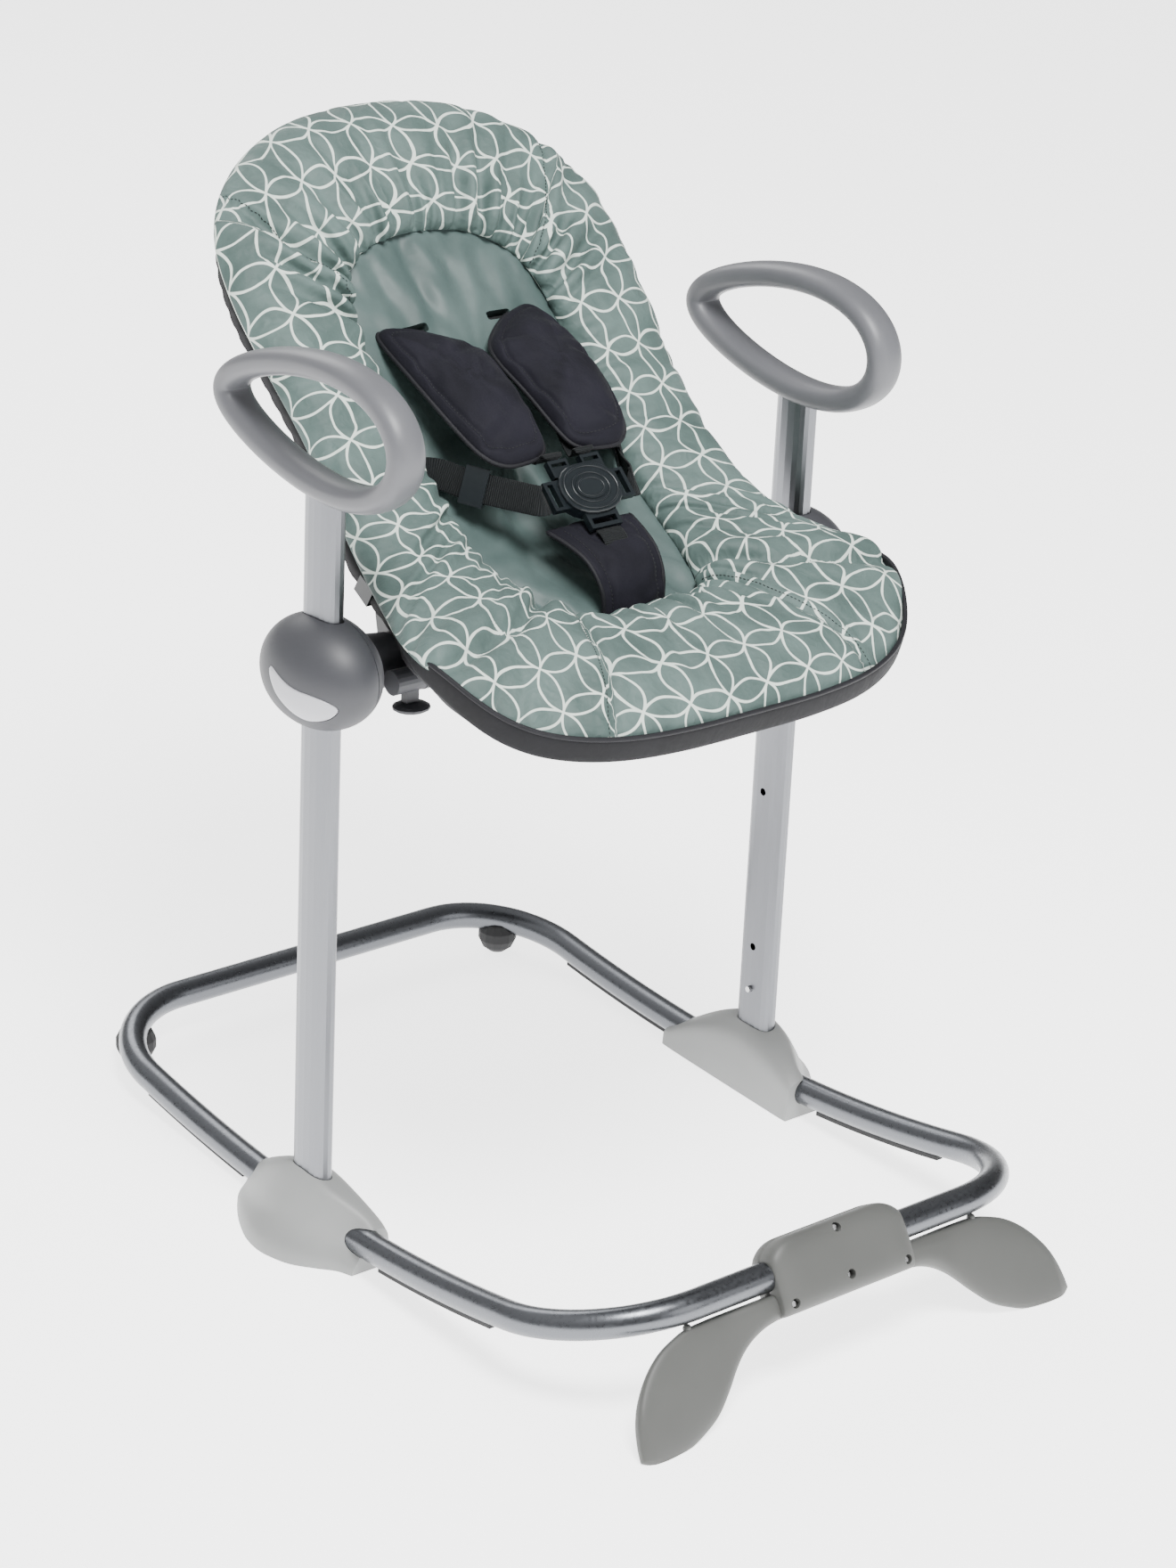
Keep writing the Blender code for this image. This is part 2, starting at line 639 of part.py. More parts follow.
def make_rivets_and_stop(side, word):
    seat = POST_HALF_DEEP + GAP
    end = POST_HALF_DEEP - RIVET_REACH
    shape = [(0.0, seat + 0.0014), (0.0016, seat + 0.0012), (RIVET_HEAD_RADIUS, seat),
             (RIVET_SHANK_RADIUS, seat), (RIVET_SHANK_RADIUS, end), (0.0, end)]
    for place, z in zip(("lower", "upper"), RIVET_HEIGHTS):
        rivet = placed(turned_mesh("rivet", shape, 8), Matrix.Rotation(math.radians(-90), 4, "X"))
        add_part(f"{word}_{place}_post_rivet", rivet, STEEL, (side * POST_SPACING / 2, 0.0, z))
    inner_face = POST_SPACING / 2 - POST_HALF_THICK
    stop = cross_pin(side, STOP_PIN_RADIUS, inner_face - STOP_PIN_REACH, inner_face + 0.0050, 0.0,
                     STOP_PIN_HEIGHT)
    add_part(f"{word}_post_stop_pin", stop, STEEL)


def turned_mesh(name, profile, segments):
    """Spins a profile of radius and height, listed from the top of the axis to its bottom."""
    bm = bmesh.new()
    points = [bm.verts.new((r, 0.0, z)) for r, z in profile]
    edges = [bm.edges.new(pair) for pair in zip(points[:-1], points[1:])]
    bmesh.ops.spin(bm, geom=points + edges, axis=(0.0, 0.0, 1.0), cent=(0.0, 0.0, 0.0),
                   angle=2 * math.pi, steps=segments)
    bmesh.ops.remove_doubles(bm, verts=bm.verts, dist=0.00001)
    return mesh_from_bmesh(name, bm)


# Ring handles

def ring_centreline(count):
    points = []
    for i in range(count):
        t = 2 * math.pi * i / count
        half_height = RING_HALF_HEIGHT * (1 - RING_EGG * math.cos(t))
        points.append((RING_CENTRE_Y + RING_HALF_LENGTH * math.cos(t),
                       RING_CENTRE_Z + half_height * math.sin(t)))
    return points


def make_ring_handle(side, name):
    x = side * POST_SPACING / 2
    line = np.array(ring_centreline(RING_STEPS))
    tangent = np.roll(line, -1, axis=0) - np.roll(line, 1, axis=0)
    tangent /= np.linalg.norm(tangent, axis=1)[:, None]
    outward = np.stack([tangent[:, 1], -tangent[:, 0]], axis=1)
    section = oval(RING_STRAP_WIDTH / 2, RING_STRAP_THICK / 2, 2.4, 10)
    rings = [[(x + u, py + v * oy, pz + v * oz) for u, v in section]
             for (py, pz), (oy, oz) in zip(line, outward)]
    ring = add_part(name, loft_mesh(name, rings, closed=True), RING_PLASTIC)
    cut(ring, post_mesh(side, POST_TOP - 0.05, RING_SOCKET_TOP, GAP))
    unite(ring, post_mesh(side, PLUG_BOTTOM, RING_SOCKET_TOP + 0.003, -POST_WALL - GAP))
    cut(ring, joined_mesh("rivet_seats", [rivet_shank(side, z, RIVET_SHANK_RADIUS + GAP,
                                                      POST_HALF_DEEP - 0.0085) for z in RIVET_HEIGHTS]))


# Hubs

def hub_centre(side):
    return Vector((side * (POST_SPACING / 2 + HUB_OFFSET_X), HUB_CENTRE_Y, HUB_CENTRE_Z))


def hub_half_mesh(name, side, outer):
    """One open half of the egg-shaped hub, cut at its seam."""
    bm = bmesh.new()
    bmesh.ops.create_uvsphere(bm, u_segments=18, v_segments=9, radius=1.0,
                              matrix=Matrix.Translation(hub_centre(side)) @ Matrix.Diagonal((*HUB_HALF, 1.0))
                              @ Matrix.Rotation(math.radians(90), 4, "Y"))
    seam = HUB_SEAM_X + (GAP / 2 if outer else -GAP / 2)
    toward_middle = (-side, 0.0, 0.0)
    geometry = bm.verts[:] + bm.edges[:] + bm.faces[:]
    bmesh.ops.bisect_plane(bm, geom=geometry, dist=1e-7, plane_co=(side * seam, 0.0, 0.0),
                           plane_no=toward_middle, clear_outer=outer, clear_inner=not outer)
    return mesh_from_bmesh(name, bm)


def thicken(part, thickness):
    modifier = part.modifiers.new("wall", "SOLIDIFY")
    modifier.thickness = thickness
    modifier.offset = -1.0
    modifier.use_even_offset = True


def button_outline(grow=0.0):
    line = smooth_curve(BUTTON_OUTLINE, 22, closed=True)
    middle = line.mean(axis=0)
    out = line - middle
    return middle + out * (1 + grow / np.linalg.norm(out, axis=1))[:, None]


def button_prism(side, start_x, end_x, grow=0.0):
    """The button's outline carried along X between two distances from the middle."""
    outline = button_outline(grow)
    rings = [[(side * x, y, z) for y, z in outline] for x in (start_x, end_x)]
    return loft_mesh("button_prism", rings)


def make_hub_shells(side, word):
    outer = add_part(f"{word}_hub_outer_shell", hub_half_mesh("outer_shell", side, True), HUB_PLASTIC)
    thicken(outer, HUB_WALL)
    passage = post_mesh(side, HUB_CENTRE_Z - 0.06, HUB_CENTRE_Z + 0.06, SLIDE_GAP)
    cut(outer, passage, button_prism(side, POST_SPACING / 2 + 0.012, POST_SPACING / 2 + 0.06, GAP + 0.0004))

    inner = add_part(f"{word}_hub_inner_shell", hub_half_mesh("inner_shell", side, False), HUB_PLASTIC)
    thicken(inner, HUB_WALL)
    boss = cylinder_mesh("boss", BOSS_TIP_RADIUS, BOSS_ROOT_X - BOSS_TIP_X, BOSS_ROOT_RADIUS, 28)
    boss = placed(boss, along_x(side), Matrix.Translation((side * BOSS_TIP_X, PIVOT_Y, PIVOT_Z)))
    unite(inner, boss)
    cut(inner, post_mesh(side, HUB_CENTRE_Z - 0.06, HUB_CENTRE_Z + 0.06, SLIDE_GAP),
        cross_pin(side, PIVOT_PIN_RADIUS + GAP, BOSS_TIP_X - 0.002, BOSS_ROOT_X + 0.01, PIVOT_Y, PIVOT_Z, 20),
        cross_pin(side, LEVER_TUBE_RADIUS + 0.0006, LEVER_INNER_X - 0.003, LEVER_OUTER_X + SLIDE_GAP,
                  LEVER_AXIS_Y, LEVER_AXIS_Z, 20))


def make_sleeve(side, word):
    low = HUB_CENTRE_Z - SLEEVE_HALF_HEIGHT
    high = HUB_CENTRE_Z + SLEEVE_HALF_HEIGHT
    mesh = post_mesh(side, low, high, GAP + SLEEVE_WALL, GAP)
    sleeve = add_part(f"{word}_post_sleeve", mesh, BLACK_PLASTIC)
    inner_face = POST_SPACING / 2 - POST_HALF_THICK
    cut(sleeve, cross_pin(side, LATCH_PIN_RADIUS + GAP, inner_face - 0.006, inner_face + 0.004, 0.0,
                          LATCH_HEIGHT))


def yoke_mesh(side):
    """A flat oval ring that passes round the sleeve, from the button to the latch pin."""
    sleeve_half = POST_HALF_THICK + GAP + SLEEVE_WALL
    inner_side = POST_SPACING / 2 - sleeve_half - GAP
    outer_side = POST_SPACING / 2 + sleeve_half + LATCH_TRAVEL + SLIDE_GAP
    middle = (inner_side + outer_side) / 2
    half = (outer_side - inner_side) / 2
    window = oval(half, YOKE_HALF_LENGTH - YOKE_BAR, 3.2, 20)
    edge = oval(half + YOKE_BAR, YOKE_HALF_LENGTH, 3.2, 20)
    ring = plate_mesh("yoke", [edge, window], YOKE_THICK)
    return placed(ring, Matrix.Translation((side * middle, 0.0, LATCH_HEIGHT))), inner_side, outer_side


def make_release(side, word):
    """Release button moulded with its yoke, and the steel latch pin that it draws back."""
    yoke, inner_side, outer_side = yoke_mesh(side)
    bm = bmesh.new()
    scale = [half + BUTTON_PROUD for half in HUB_HALF]
    bmesh.ops.create_uvsphere(bm, u_segments=20, v_segments=12, radius=1.0,
                              matrix=Matrix.Translation(hub_centre(side)) @ Matrix.Diagonal((*scale, 1.0))
                              @ Matrix.Rotation(math.radians(90), 4, "Y"))
    button = add_part(f"{word}_release_button", mesh_from_bmesh("button", bm), BUTTON_PLASTIC)
    window = button_prism(side, POST_SPACING / 2 + 0.0165, POST_SPACING / 2 + 0.07)
    keep = button.modifiers.new("lens", "BOOLEAN")
    keep.operation = "INTERSECT"
    keep.solver = "EXACT"
    tool = bpy.data.objects.new(f"{word}_button_lens", window)
    CUTTERS.objects.link(tool)
    tool.parent = STANCE
    tool.hide_render = True
    tool.display_type = "WIRE"
    keep.object = tool
    bm = bmesh.new()
    scale = [half - BUTTON_THICK for half in HUB_HALF]
    bmesh.ops.create_uvsphere(bm, u_segments=20, v_segments=12, radius=1.0,
                              matrix=Matrix.Translation(hub_centre(side)) @ Matrix.Diagonal((*scale, 1.0))
                              @ Matrix.Rotation(math.radians(90), 4, "Y"))
    cut(button, mesh_from_bmesh("button_hollow", bm))
    near, far = sorted((side * (outer_side + 0.002), side * (outer_side + 0.0205)))
    unite(button, yoke)
    unite(button, box_mesh("stem", (near, STEM_SPAN[0], LATCH_HEIGHT - YOKE_THICK / 2),
                           (far, STEM_SPAN[1], LATCH_HEIGHT + YOKE_THICK / 2)))
    cut(button, cross_pin(side, LATCH_PIN_RADIUS + GAP, inner_side - 0.012, inner_side + 0.004, 0.0,
                          LATCH_HEIGHT))

    tip = POST_SPACING / 2 - POST_HALF_THICK - GAP
    flange = inner_side - YOKE_BAR - GAP
    reach = tip - (flange - 0.0015)
    pin_shape = [(0.0, reach), (LATCH_PIN_RADIUS, reach), (LATCH_PIN_RADIUS, 0.0015), (0.0050, 0.0015),
                 (0.0050, 0.0), (0.0, 0.0)]
    pin = placed(turned_mesh("latch_pin", pin_shape, 12), along_x(side),
                 Matrix.Translation((side * (flange - 0.0015), 0.0, LATCH_HEIGHT)))
    add_part(f"{word}_latch_pin", pin, STEEL)

    spring_end = flange - 0.0015 - GAP - 0.0005
    spring_start = spring_end - 0.0062
    turns, steps = 3, 7
    coil = []
    for i in range(turns * steps + 1):
        a = 2 * math.pi * i / steps
        share = i / (turns * steps)
        coil.append((side * (spring_start + 0.0005 + share * (spring_end - spring_start - 0.0005)),
                     0.0036 * math.cos(a), LATCH_HEIGHT + 0.0036 * math.sin(a)))
    add_part(f"{word}_latch_spring", tube_mesh("spring", coil, 0.0004, 0), STEEL)


# Recline pivots

def make_pivot(side, word):
    inner_x = BRACKET_OUTER_X - BRACKET_THICK
    head = inner_x - GAP - PIVOT_HEAD_THICK
    shape = [(0.0, BOSS_ROOT_X - head), (PIVOT_PIN_RADIUS, BOSS_ROOT_X - head),
             (PIVOT_PIN_RADIUS, PIVOT_HEAD_THICK), (PIVOT_HEAD_RADIUS, PIVOT_HEAD_THICK),
             (PIVOT_HEAD_RADIUS, 0.0006), (PIVOT_HEAD_RADIUS - 0.0006, 0.0), (0.0, 0.0)]
    pin = placed(turned_mesh("pivot", shape, 16), along_x(side),
                 Matrix.Translation((side * head, 0.0, 0.0)))
    add_part(f"{word}_pivot_pin", pin, STEEL, (0.0, PIVOT_Y, PIVOT_Z))


def hull_plate(circles, inner_x, outer_x, side, name):
    """A plate across X that wraps a taut band round circles given as y, z and radius."""
    bm = bmesh.new()
    for x in (inner_x, outer_x):
        for y, z, radius in circles:
            for i in range(18):
                a = 2 * math.pi * i / 18
                bm.verts.new((side * x, y + radius * math.cos(a), z + radius * math.sin(a)))
    found = bmesh.ops.convex_hull(bm, input=bm.verts)
    loose = [v for v in found["geom_interior"] + found["geom_unused"] if isinstance(v, bmesh.types.BMVert)]
    bmesh.ops.delete(bm, geom=list(set(loose)), context="VERTS")
    return mesh_from_bmesh(name, bm)


def clamp_matrix(side):
    """Axes at the bracket's clamp on the frame tube: X across, Y along the seat, Z out of it."""
    x, y, z = seat_point(side * FRAME_CLAMP_X, CLAMP_S, FRAME_DEPTH)
    return Matrix.Translation((x, y, z)) @ Matrix.Rotation(spine(CLAMP_S)[2], 4, "X")


def make_seat_bracket(side, word):
    """Cheek on the pivot, with an ear for the recline lever and a cradle under the frame tube."""
    inner_x = BRACKET_OUTER_X - BRACKET_THICK
    matrix = clamp_matrix(side)
    tip = matrix @ Vector((0.0, 0.0, FRAME_RADIUS - BRACKET_ARM_HALF_WIDTH))
    cheek = hull_plate([(0.0, 0.0, BRACKET_RADIUS),
                        (LEVER_AXIS_Y - PIVOT_Y, LEVER_AXIS_Z - PIVOT_Z, LEVER_EAR_RADIUS)],
                       inner_x, BRACKET_OUTER_X, side, "cheek")
    bracket = add_part(f"{word}_seat_bracket", cheek, BLACK_PLASTIC, (0.0, PIVOT_Y, PIVOT_Z))
    arm = hull_plate([(0.0, 0.0, BRACKET_RADIUS - 0.004),
                      (tip.y - PIVOT_Y, tip.z - PIVOT_Z, BRACKET_ARM_HALF_WIDTH)],
                     inner_x + 0.0001, BRACKET_OUTER_X - 0.0001, side, "arm")
    low_x, high_x = sorted((side * (inner_x + 0.0002 - FRAME_CLAMP_X),
                            side * (FRAME_RADIUS + GAP + CLAMP_WALL)))
    cradle = box_mesh("cradle", (low_x, -CLAMP_HALF_LENGTH, -FRAME_RADIUS - CLAMP_WALL - GAP),
                      (high_x, CLAMP_HALF_LENGTH, FRAME_RADIUS - 0.0015))
    to_bracket = Matrix.Translation((0.0, -PIVOT_Y, -PIVOT_Z))
    unite(bracket, arm, placed(cradle, matrix, to_bracket))
    stub = cylinder_mesh("stub", LEVER_STUB_RADIUS, LEVER_STUB_LENGTH + 0.001, segments=16)
    unite(bracket, placed(stub, along_x(side),
                          Matrix.Translation((side * (BRACKET_OUTER_X - 0.001), LEVER_AXIS_Y - PIVOT_Y,
                                              LEVER_AXIS_Z - PIVOT_Z))))
    hole = cylinder_mesh("hole", PIVOT_PIN_RADIUS + GAP, 0.02, segments=20)
    cut(bracket, placed(hole, along_x(side), Matrix.Translation((side * (inner_x - 0.005), 0.0, 0.0))),
        placed(tube_mesh("channel", frame_line(), FRAME_RADIUS + GAP, 2, cyclic=True), to_bracket))


def make_recline_lever(side, word):
    axis = Vector((0.0, LEVER_AXIS_Y, LEVER_AXIS_Z))
    barrel = cylinder_mesh("barrel", LEVER_TUBE_RADIUS, LEVER_OUTER_X - LEVER_INNER_X, segments=20)
    barrel = placed(barrel, along_x(side), Matrix.Translation((side * LEVER_INNER_X, 0.0, 0.0)))
    lever = add_part(f"{word}_recline_lever", barrel, HUB_PLASTIC, axis)
    middle = side * (LEVER_INNER_X + 0.010)
    arm = box_mesh("arm", (middle - 0.006, -0.004, -LEVER_PAD_DROP), (middle + 0.006, 0.004, 0.0))
    bm = bmesh.new()
    bmesh.ops.create_uvsphere(bm, u_segments=14, v_segments=7, radius=1.0,
                              matrix=Matrix.Translation((middle, -0.002, -LEVER_PAD_DROP))
                              @ Matrix.Diagonal((*LEVER_PAD_HALF, 1.0)))
    unite(lever, arm, mesh_from_bmesh("pad", bm))
    bore = cylinder_mesh("bore", LEVER_STUB_RADIUS + GAP, LEVER_STUB_LENGTH + 0.002, segments=16)
    cut(lever, placed(bore, along_x(side), Matrix.Translation((side * (LEVER_INNER_X - 0.001), 0.0, 0.0))))


# Seat

def spine(s):
    """Height profile of the seat at a run s from the front edge: y, z and slope."""
    bend = BACK_SLOPE - PAN_SLOPE
    tangent = KNEE_RADIUS * math.tan(bend / 2)
    pan_end = PAN_LENGTH - tangent
    arc_end = pan_end + KNEE_RADIUS * bend
    if s <= pan_end:
        run = PAN_LENGTH - s
        return (KNEE_Y - run * math.cos(PAN_SLOPE), KNEE_Z - run * math.sin(PAN_SLOPE), PAN_SLOPE)
    if s >= arc_end:
        run = s - arc_end + tangent
        return (KNEE_Y + run * math.cos(BACK_SLOPE), KNEE_Z + run * math.sin(BACK_SLOPE), BACK_SLOPE)
    turn = (s - pan_end) / KNEE_RADIUS
    start_y = KNEE_Y - tangent * math.cos(PAN_SLOPE)
    start_z = KNEE_Z - tangent * math.sin(PAN_SLOPE)
    slope = PAN_SLOPE + turn
    return (start_y + KNEE_RADIUS * (math.sin(slope) - math.sin(PAN_SLOPE)),
            start_z + KNEE_RADIUS * (math.cos(PAN_SLOPE) - math.cos(slope)), slope)


def side_lift(x, s):
    """The pan's sides curl up, most at its widest place."""
    share = max(0.0, abs(x) - SIDE_LIFT_FROM) / (SIDE_LIFT_TO - SIDE_LIFT_FROM)
    return SIDE_LIFT * share ** 2 * math.exp(-((s - SIDE_LIFT_S) / SIDE_LIFT_SPREAD) ** 2)


def seat_point(x, s, h):
    """Carries a flat-pattern point, with height h over the seat surface, into space."""
    y, z, slope = spine(s)
    rise = h + side_lift(x, s)
    return (x, y - rise * math.sin(slope), z + rise * math.cos(slope))


def full_outline(half, count, inset=0.0):
    """A closed outline from its right half, moved inwards by the inset."""
    half = list(half)
    loop = np.array(half + [(-x, s) for x, s in half[-2:0:-1]])
    line = smooth_curve(loop, count, closed=True)
    tangent = np.roll(line, -1, axis=0) - np.roll(line, 1, axis=0)
    tangent /= np.linalg.norm(tangent, axis=1)[:, None]
    inward = np.stack([-tangent[:, 1], tangent[:, 0]], axis=1)
    return line + inward * inset


def frame_line():
    return [seat_point(x, s, FRAME_DEPTH) for x, s in full_outline(FRAME_OUTLINE, FRAME_STATIONS)]


def border_underside(depth):
    """Height of the border's underside at a depth in from its edge."""
    share = np.interp(depth, (0.0, 0.0075, 0.029, 0.055), (0.0, 0.593, 0.921, 1.014))
    return -BORDER_EDGE - (BORDER_BOTTOM - BORDER_EDGE) * share


def make_padded_border():
    """Ring cushion round the seat: crown, drawn-in edges and gathers round the head opening."""
    outer = full_outline(SEAT_OUTLINE, BORDER_STATIONS)
    inner = full_outline(OPENING_OUTLINE, BORDER_STATIONS)
    rings = []
    for i, (edge, rim) in enumerate(zip(outer, inner)):
        frontness = math.exp(-(edge[1] / 0.11) ** 2)
        head = 1 / (1 + math.exp(-(edge[1] - 0.50) / 0.03))
        crest = BORDER_CREST + (FRONT_CREST - BORDER_CREST) * frontness + (HEAD_CREST - BORDER_CREST) * head
        pinch = GATHER_DEPTH * head * (-1) ** i
        ring = []
        for j in range(BORDER_SIDES):
            a = 2 * math.pi * j / BORDER_SIDES
            u = 0.5 + 0.5 * math.copysign(abs(math.cos(a)) ** 0.8, math.cos(a))
            point = rim + (edge - rim) * u
            up = abs(math.sin(a)) ** 0.85
            if math.sin(a) > 0:
                height = (crest + pinch * (1 - u)) * up - BORDER_EDGE
            else:
                height = -BORDER_EDGE - (BORDER_BOTTOM - BORDER_EDGE) * up
            ring.append(seat_point(point[0], point[1], height))
        rings.append(ring)
    add_part("padded_border", loft_mesh("padded_border", rings, closed=True), SAGE_PRINT)


def edge_distance(x, s, outline):
    return np.min(np.hypot(outline[:, 0] - x, outline[:, 1] - s))


def inset_pad(name, half, count, insets, columns, top, bottom, material):
    """A pad bounded by an outline: rings at even insets, then lines straight across the seat inside them."""
    dense = full_outline(half, 400)
    loops = [full_outline(half, count, inset) for inset in insets]
    vertices, faces = [], []

    def add(x, s, height):
        vertices.append(seat_point(x, s, height(edge_distance(x, s, dense), x, s)))
        return len(vertices) - 1

    rims = []
    for height in (top, bottom):
        rings = [[add(x, s, height) for x, s in loop] for loop in loops]
        rims.append(rings[0])
        for outer, inner in zip(rings[:-1], rings[1:]):
            for j in range(count):
                k = (j + 1) % count
                faces.append((outer[j], outer[k], inner[k], inner[j]))
        rows = [[rings[-1][0]] * (columns + 2)]
        for j in range(1, count // 2):
            right, left = loops[-1][j], loops[-1][count - j]
            inside = [add(*(right + (left - right) * c / (columns + 1)), height)
                      for c in range(1, columns + 1)]
            rows.append([rings[-1][j], *inside, rings[-1][count - j]])
        rows.append([rings[-1][count // 2]] * (columns + 2))
        for near, far in zip(rows[:-1], rows[1:]):
            for c in range(columns + 1):
                corners = list(dict.fromkeys((near[c], near[c + 1], far[c + 1], far[c])))
                if len(corners) > 2:
                    faces.append(tuple(corners))
    for j in range(count):
        k = (j + 1) % count
        faces.append((rims[0][j], rims[0][k], rims[1][k], rims[1][j]))
    mesh = bpy.data.meshes.new(name)
    mesh.from_pydata(vertices, [], faces)
    bm = bmesh.new()
    bm.from_mesh(mesh)
    face_outward(bm)
    bm.to_mesh(mesh)
    bm.free()
    return add_part(name, mesh, material)


def make_insert_pad():
    """Thin pad in the border's opening, hollowed where the child sits, with slots for the shoulder straps."""
    def top(depth, x, s):
        hollow = INSERT_HOLLOW * math.exp(-((s - 0.27) / 0.11) ** 2) * min(1.0, depth / 0.055)
        return INSERT_TOP - hollow - 0.0055 * max(0.0, 1 - depth / 0.012) ** 2

    def bottom(depth, x, s):
        return INSERT_BOTTOM + 0.011 * max(0.0, 1 - depth / 0.014) ** 2

    insert = inset_pad("insert_pad", OPENING_OUTLINE, 32, (0.0015, 0.006, 0.014), 3, top, bottom, SAGE_SATIN)
    for side in (-1, 1):
        slot = box_mesh("strap_slot", (-0.0115, -0.0050, -0.04), (0.0115, 0.0022, 0.03))
        turn = Matrix.Rotation(spine(STRAP_SLOT_S)[2], 4, "X")
        place = Matrix.Translation(seat_point(side * SHOULDER_TOP[0], STRAP_SLOT_S, INSERT_TOP))
        cut(insert, placed(slot, place @ turn))


def make_seat_cover():
    """Charcoal underside: a dish under the frame tube, steep at the sides and shallow in front."""
    seat_edge = full_outline(SEAT_OUTLINE, 400)

    def rim(x, s):
        return border_underside(edge_distance(x, s, seat_edge)) - COVER_CLEARANCE

    def reach(s):
        return np.interp(s, (0.15, 0.20), (COVER_REACH, 0.0060))

    def top(depth, x, s):
        edge = rim(x, s)
        fall = np.interp(depth, (0.0052, reach(s)), (0.0, 1.0))
        return edge + (COVER_TOP - edge) * fall

    def bottom(depth, x, s):
        front = np.interp(s, (0.15, 0.20), (1.0, 0.0))
        steep = np.interp(depth, (0.0, 0.004, 0.008, 0.014), (0.0, 0.55, 0.85, 1.0))
        fall = front * min(1.0, depth / COVER_REACH) + (1 - front) * steep
        start = rim(x, s) - 0.0065
        start = front * start + (1 - front) * min(start, COVER_BOTTOM + 0.010)
        return start + (COVER_BOTTOM - start) * fall

    cover = inset_pad("seat_cover", COVER_OUTLINE, 38, (0.0, 0.0048, 0.0060, 0.014, COVER_REACH), 2, top,
                      bottom, CHARCOAL_CLOTH)
    low, high = BRACKET_OUTER_X - BRACKET_THICK - 0.0015, FRAME_CLAMP_X + FRAME_RADIUS + CLAMP_WALL + 0.0015
    for side in (-1, 1):
        low_x, high_x = sorted((side * low, side * high))
        clamp_y = clamp_matrix(side).translation.y
        near_y = min(clamp_y, PIVOT_Y) - BRACKET_ARM_HALF_WIDTH - BRACKET_SLOT_ROOM
        far_y = max(clamp_y, PIVOT_Y) + BRACKET_ARM_HALF_WIDTH + BRACKET_SLOT_ROOM
        cut(cover, box_mesh("bracket_slot", (low_x, near_y, PIVOT_Z), (high_x, far_y, PIVOT_Z + 0.1)))


def make_seat_frame():
    mesh = tube_mesh("seat_frame_tube", frame_line(), FRAME_RADIUS, 2, cyclic=True)
    add_part("seat_frame_tube", mesh, STEEL)


# Harness

def buckle_frame():
    """Axes of the buckle: across, up the back, and out of its face."""
    across = Vector((1.0, 0.0, 0.0))
    up = Vector((0.0, math.cos(BUCKLE_SLOPE), math.sin(BUCKLE_SLOPE)))
    out = Vector((0.0, -math.sin(BUCKLE_SLOPE), math.cos(BUCKLE_SLOPE)))
    return across, up, out


def buckle_matrix():
    across, up, out = buckle_frame()
    turn = Matrix((across, up, out)).transposed().to_4x4()
    return Matrix.Translation(BUCKLE_CENTRE) @ turn


def make_buckle():
    matrix = buckle_matrix()
    half_x, half_y, half_z = BUCKLE_HALF
    body_mesh = placed(plate_mesh("buckle", [oval(half_x, half_y, 2.3, 22)], 2 * half_z))
    body = add_part("buckle_body", body_mesh, BLACK_PLASTIC)
    body.matrix_local = matrix
    bevel = body.modifiers.new("edge", "BEVEL")
    bevel.width = 0.0015
    bevel.segments = 1
    bevel.limit_method = "ANGLE"
    bevel.angle_limit = math.radians(50)
    prongs = []
    for side in (-1, 1):
        low_x, high_x = sorted((side * (half_x - 0.006), side * (half_x + PRONG_REACH)))
        frame = box_mesh("prong", (low_x, -0.0135, -0.003), (high_x, 0.0135, 0.003))
        prongs.append(frame)
    for side in (-1, 1):
        centre = side * UPPER_PRONG_X
        prongs.append(box_mesh("upper_prong", (centre - 0.010, half_y - 0.008, -0.003),
                               (centre + 0.010, half_y + UPPER_PRONG_REACH, 0.003)))
    prongs.append(box_mesh("lower_prong", (-0.016, -half_y - 0.012, -0.003), (0.016, -half_y + 0.006, 0.003)))
    unite(body, *prongs)
    slots = []
    for side in (-1, 1):
        low_x, high_x = sorted((side * (half_x + 0.003), side * (half_x + 0.0085)))
        slots.append(box_mesh("slot", (low_x, -0.0108, -0.02), (high_x, 0.0108, 0.02)))
        centre = side * UPPER_PRONG_X
        slots.append(box_mesh("slot", (centre - 0.0075, half_y + 0.0015, -0.02),
                              (centre + 0.0075, half_y + 0.0050, 0.02)))
    slots.append(box_mesh("slot", (-0.0125, -half_y - 0.0085, -0.02), (0.0125, -half_y - 0.003, 0.02)))
    well = plate_mesh("well", [oval(BUCKLE_BUTTON_HALF[0] + GAP, BUCKLE_BUTTON_HALF[1] + GAP, 2.0, 28)], 0.02)
    slots.append(placed(well, Matrix.Translation((0.0, 0.0, half_z - 0.0062 + 0.01))))
    cut(body, *slots)

    button = plate_mesh("buckle_button", [oval(*BUCKLE_BUTTON_HALF, 2.0, 28)], BUCKLE_BUTTON_THICK)
    knob = add_part("buckle_button", button, BLACK_PLASTIC)
    knob.matrix_local = matrix @ Matrix.Translation((0.0, 0.0, half_z + 0.0004 - BUCKLE_BUTTON_THICK / 2))


def webbing_mesh(name, path, width_directions, width, thick):
    """A flat strap along a path; each point has the direction of the strap's width."""
    path = np.asarray(path, dtype=float)
    across = np.asarray(width_directions, dtype=float)
    across = np.broadcast_to(across, path.shape)
    tangent = np.gradient(path, axis=0)
    tangent /= np.linalg.norm(tangent, axis=1)[:, None]
    across = across - tangent * np.sum(across * tangent, axis=1)[:, None]
    across /= np.linalg.norm(across, axis=1)[:, None]
    normal = np.cross(tangent, across)
    rings = []
    for p, a, n in zip(path, across, normal):
        rings.append([p + a * width / 2 + n * thick / 2, p - a * width / 2 + n * thick / 2,
                      p - a * width / 2 - n * thick / 2, p + a * width / 2 - n * thick / 2])
    return loft_mesh(name, rings)


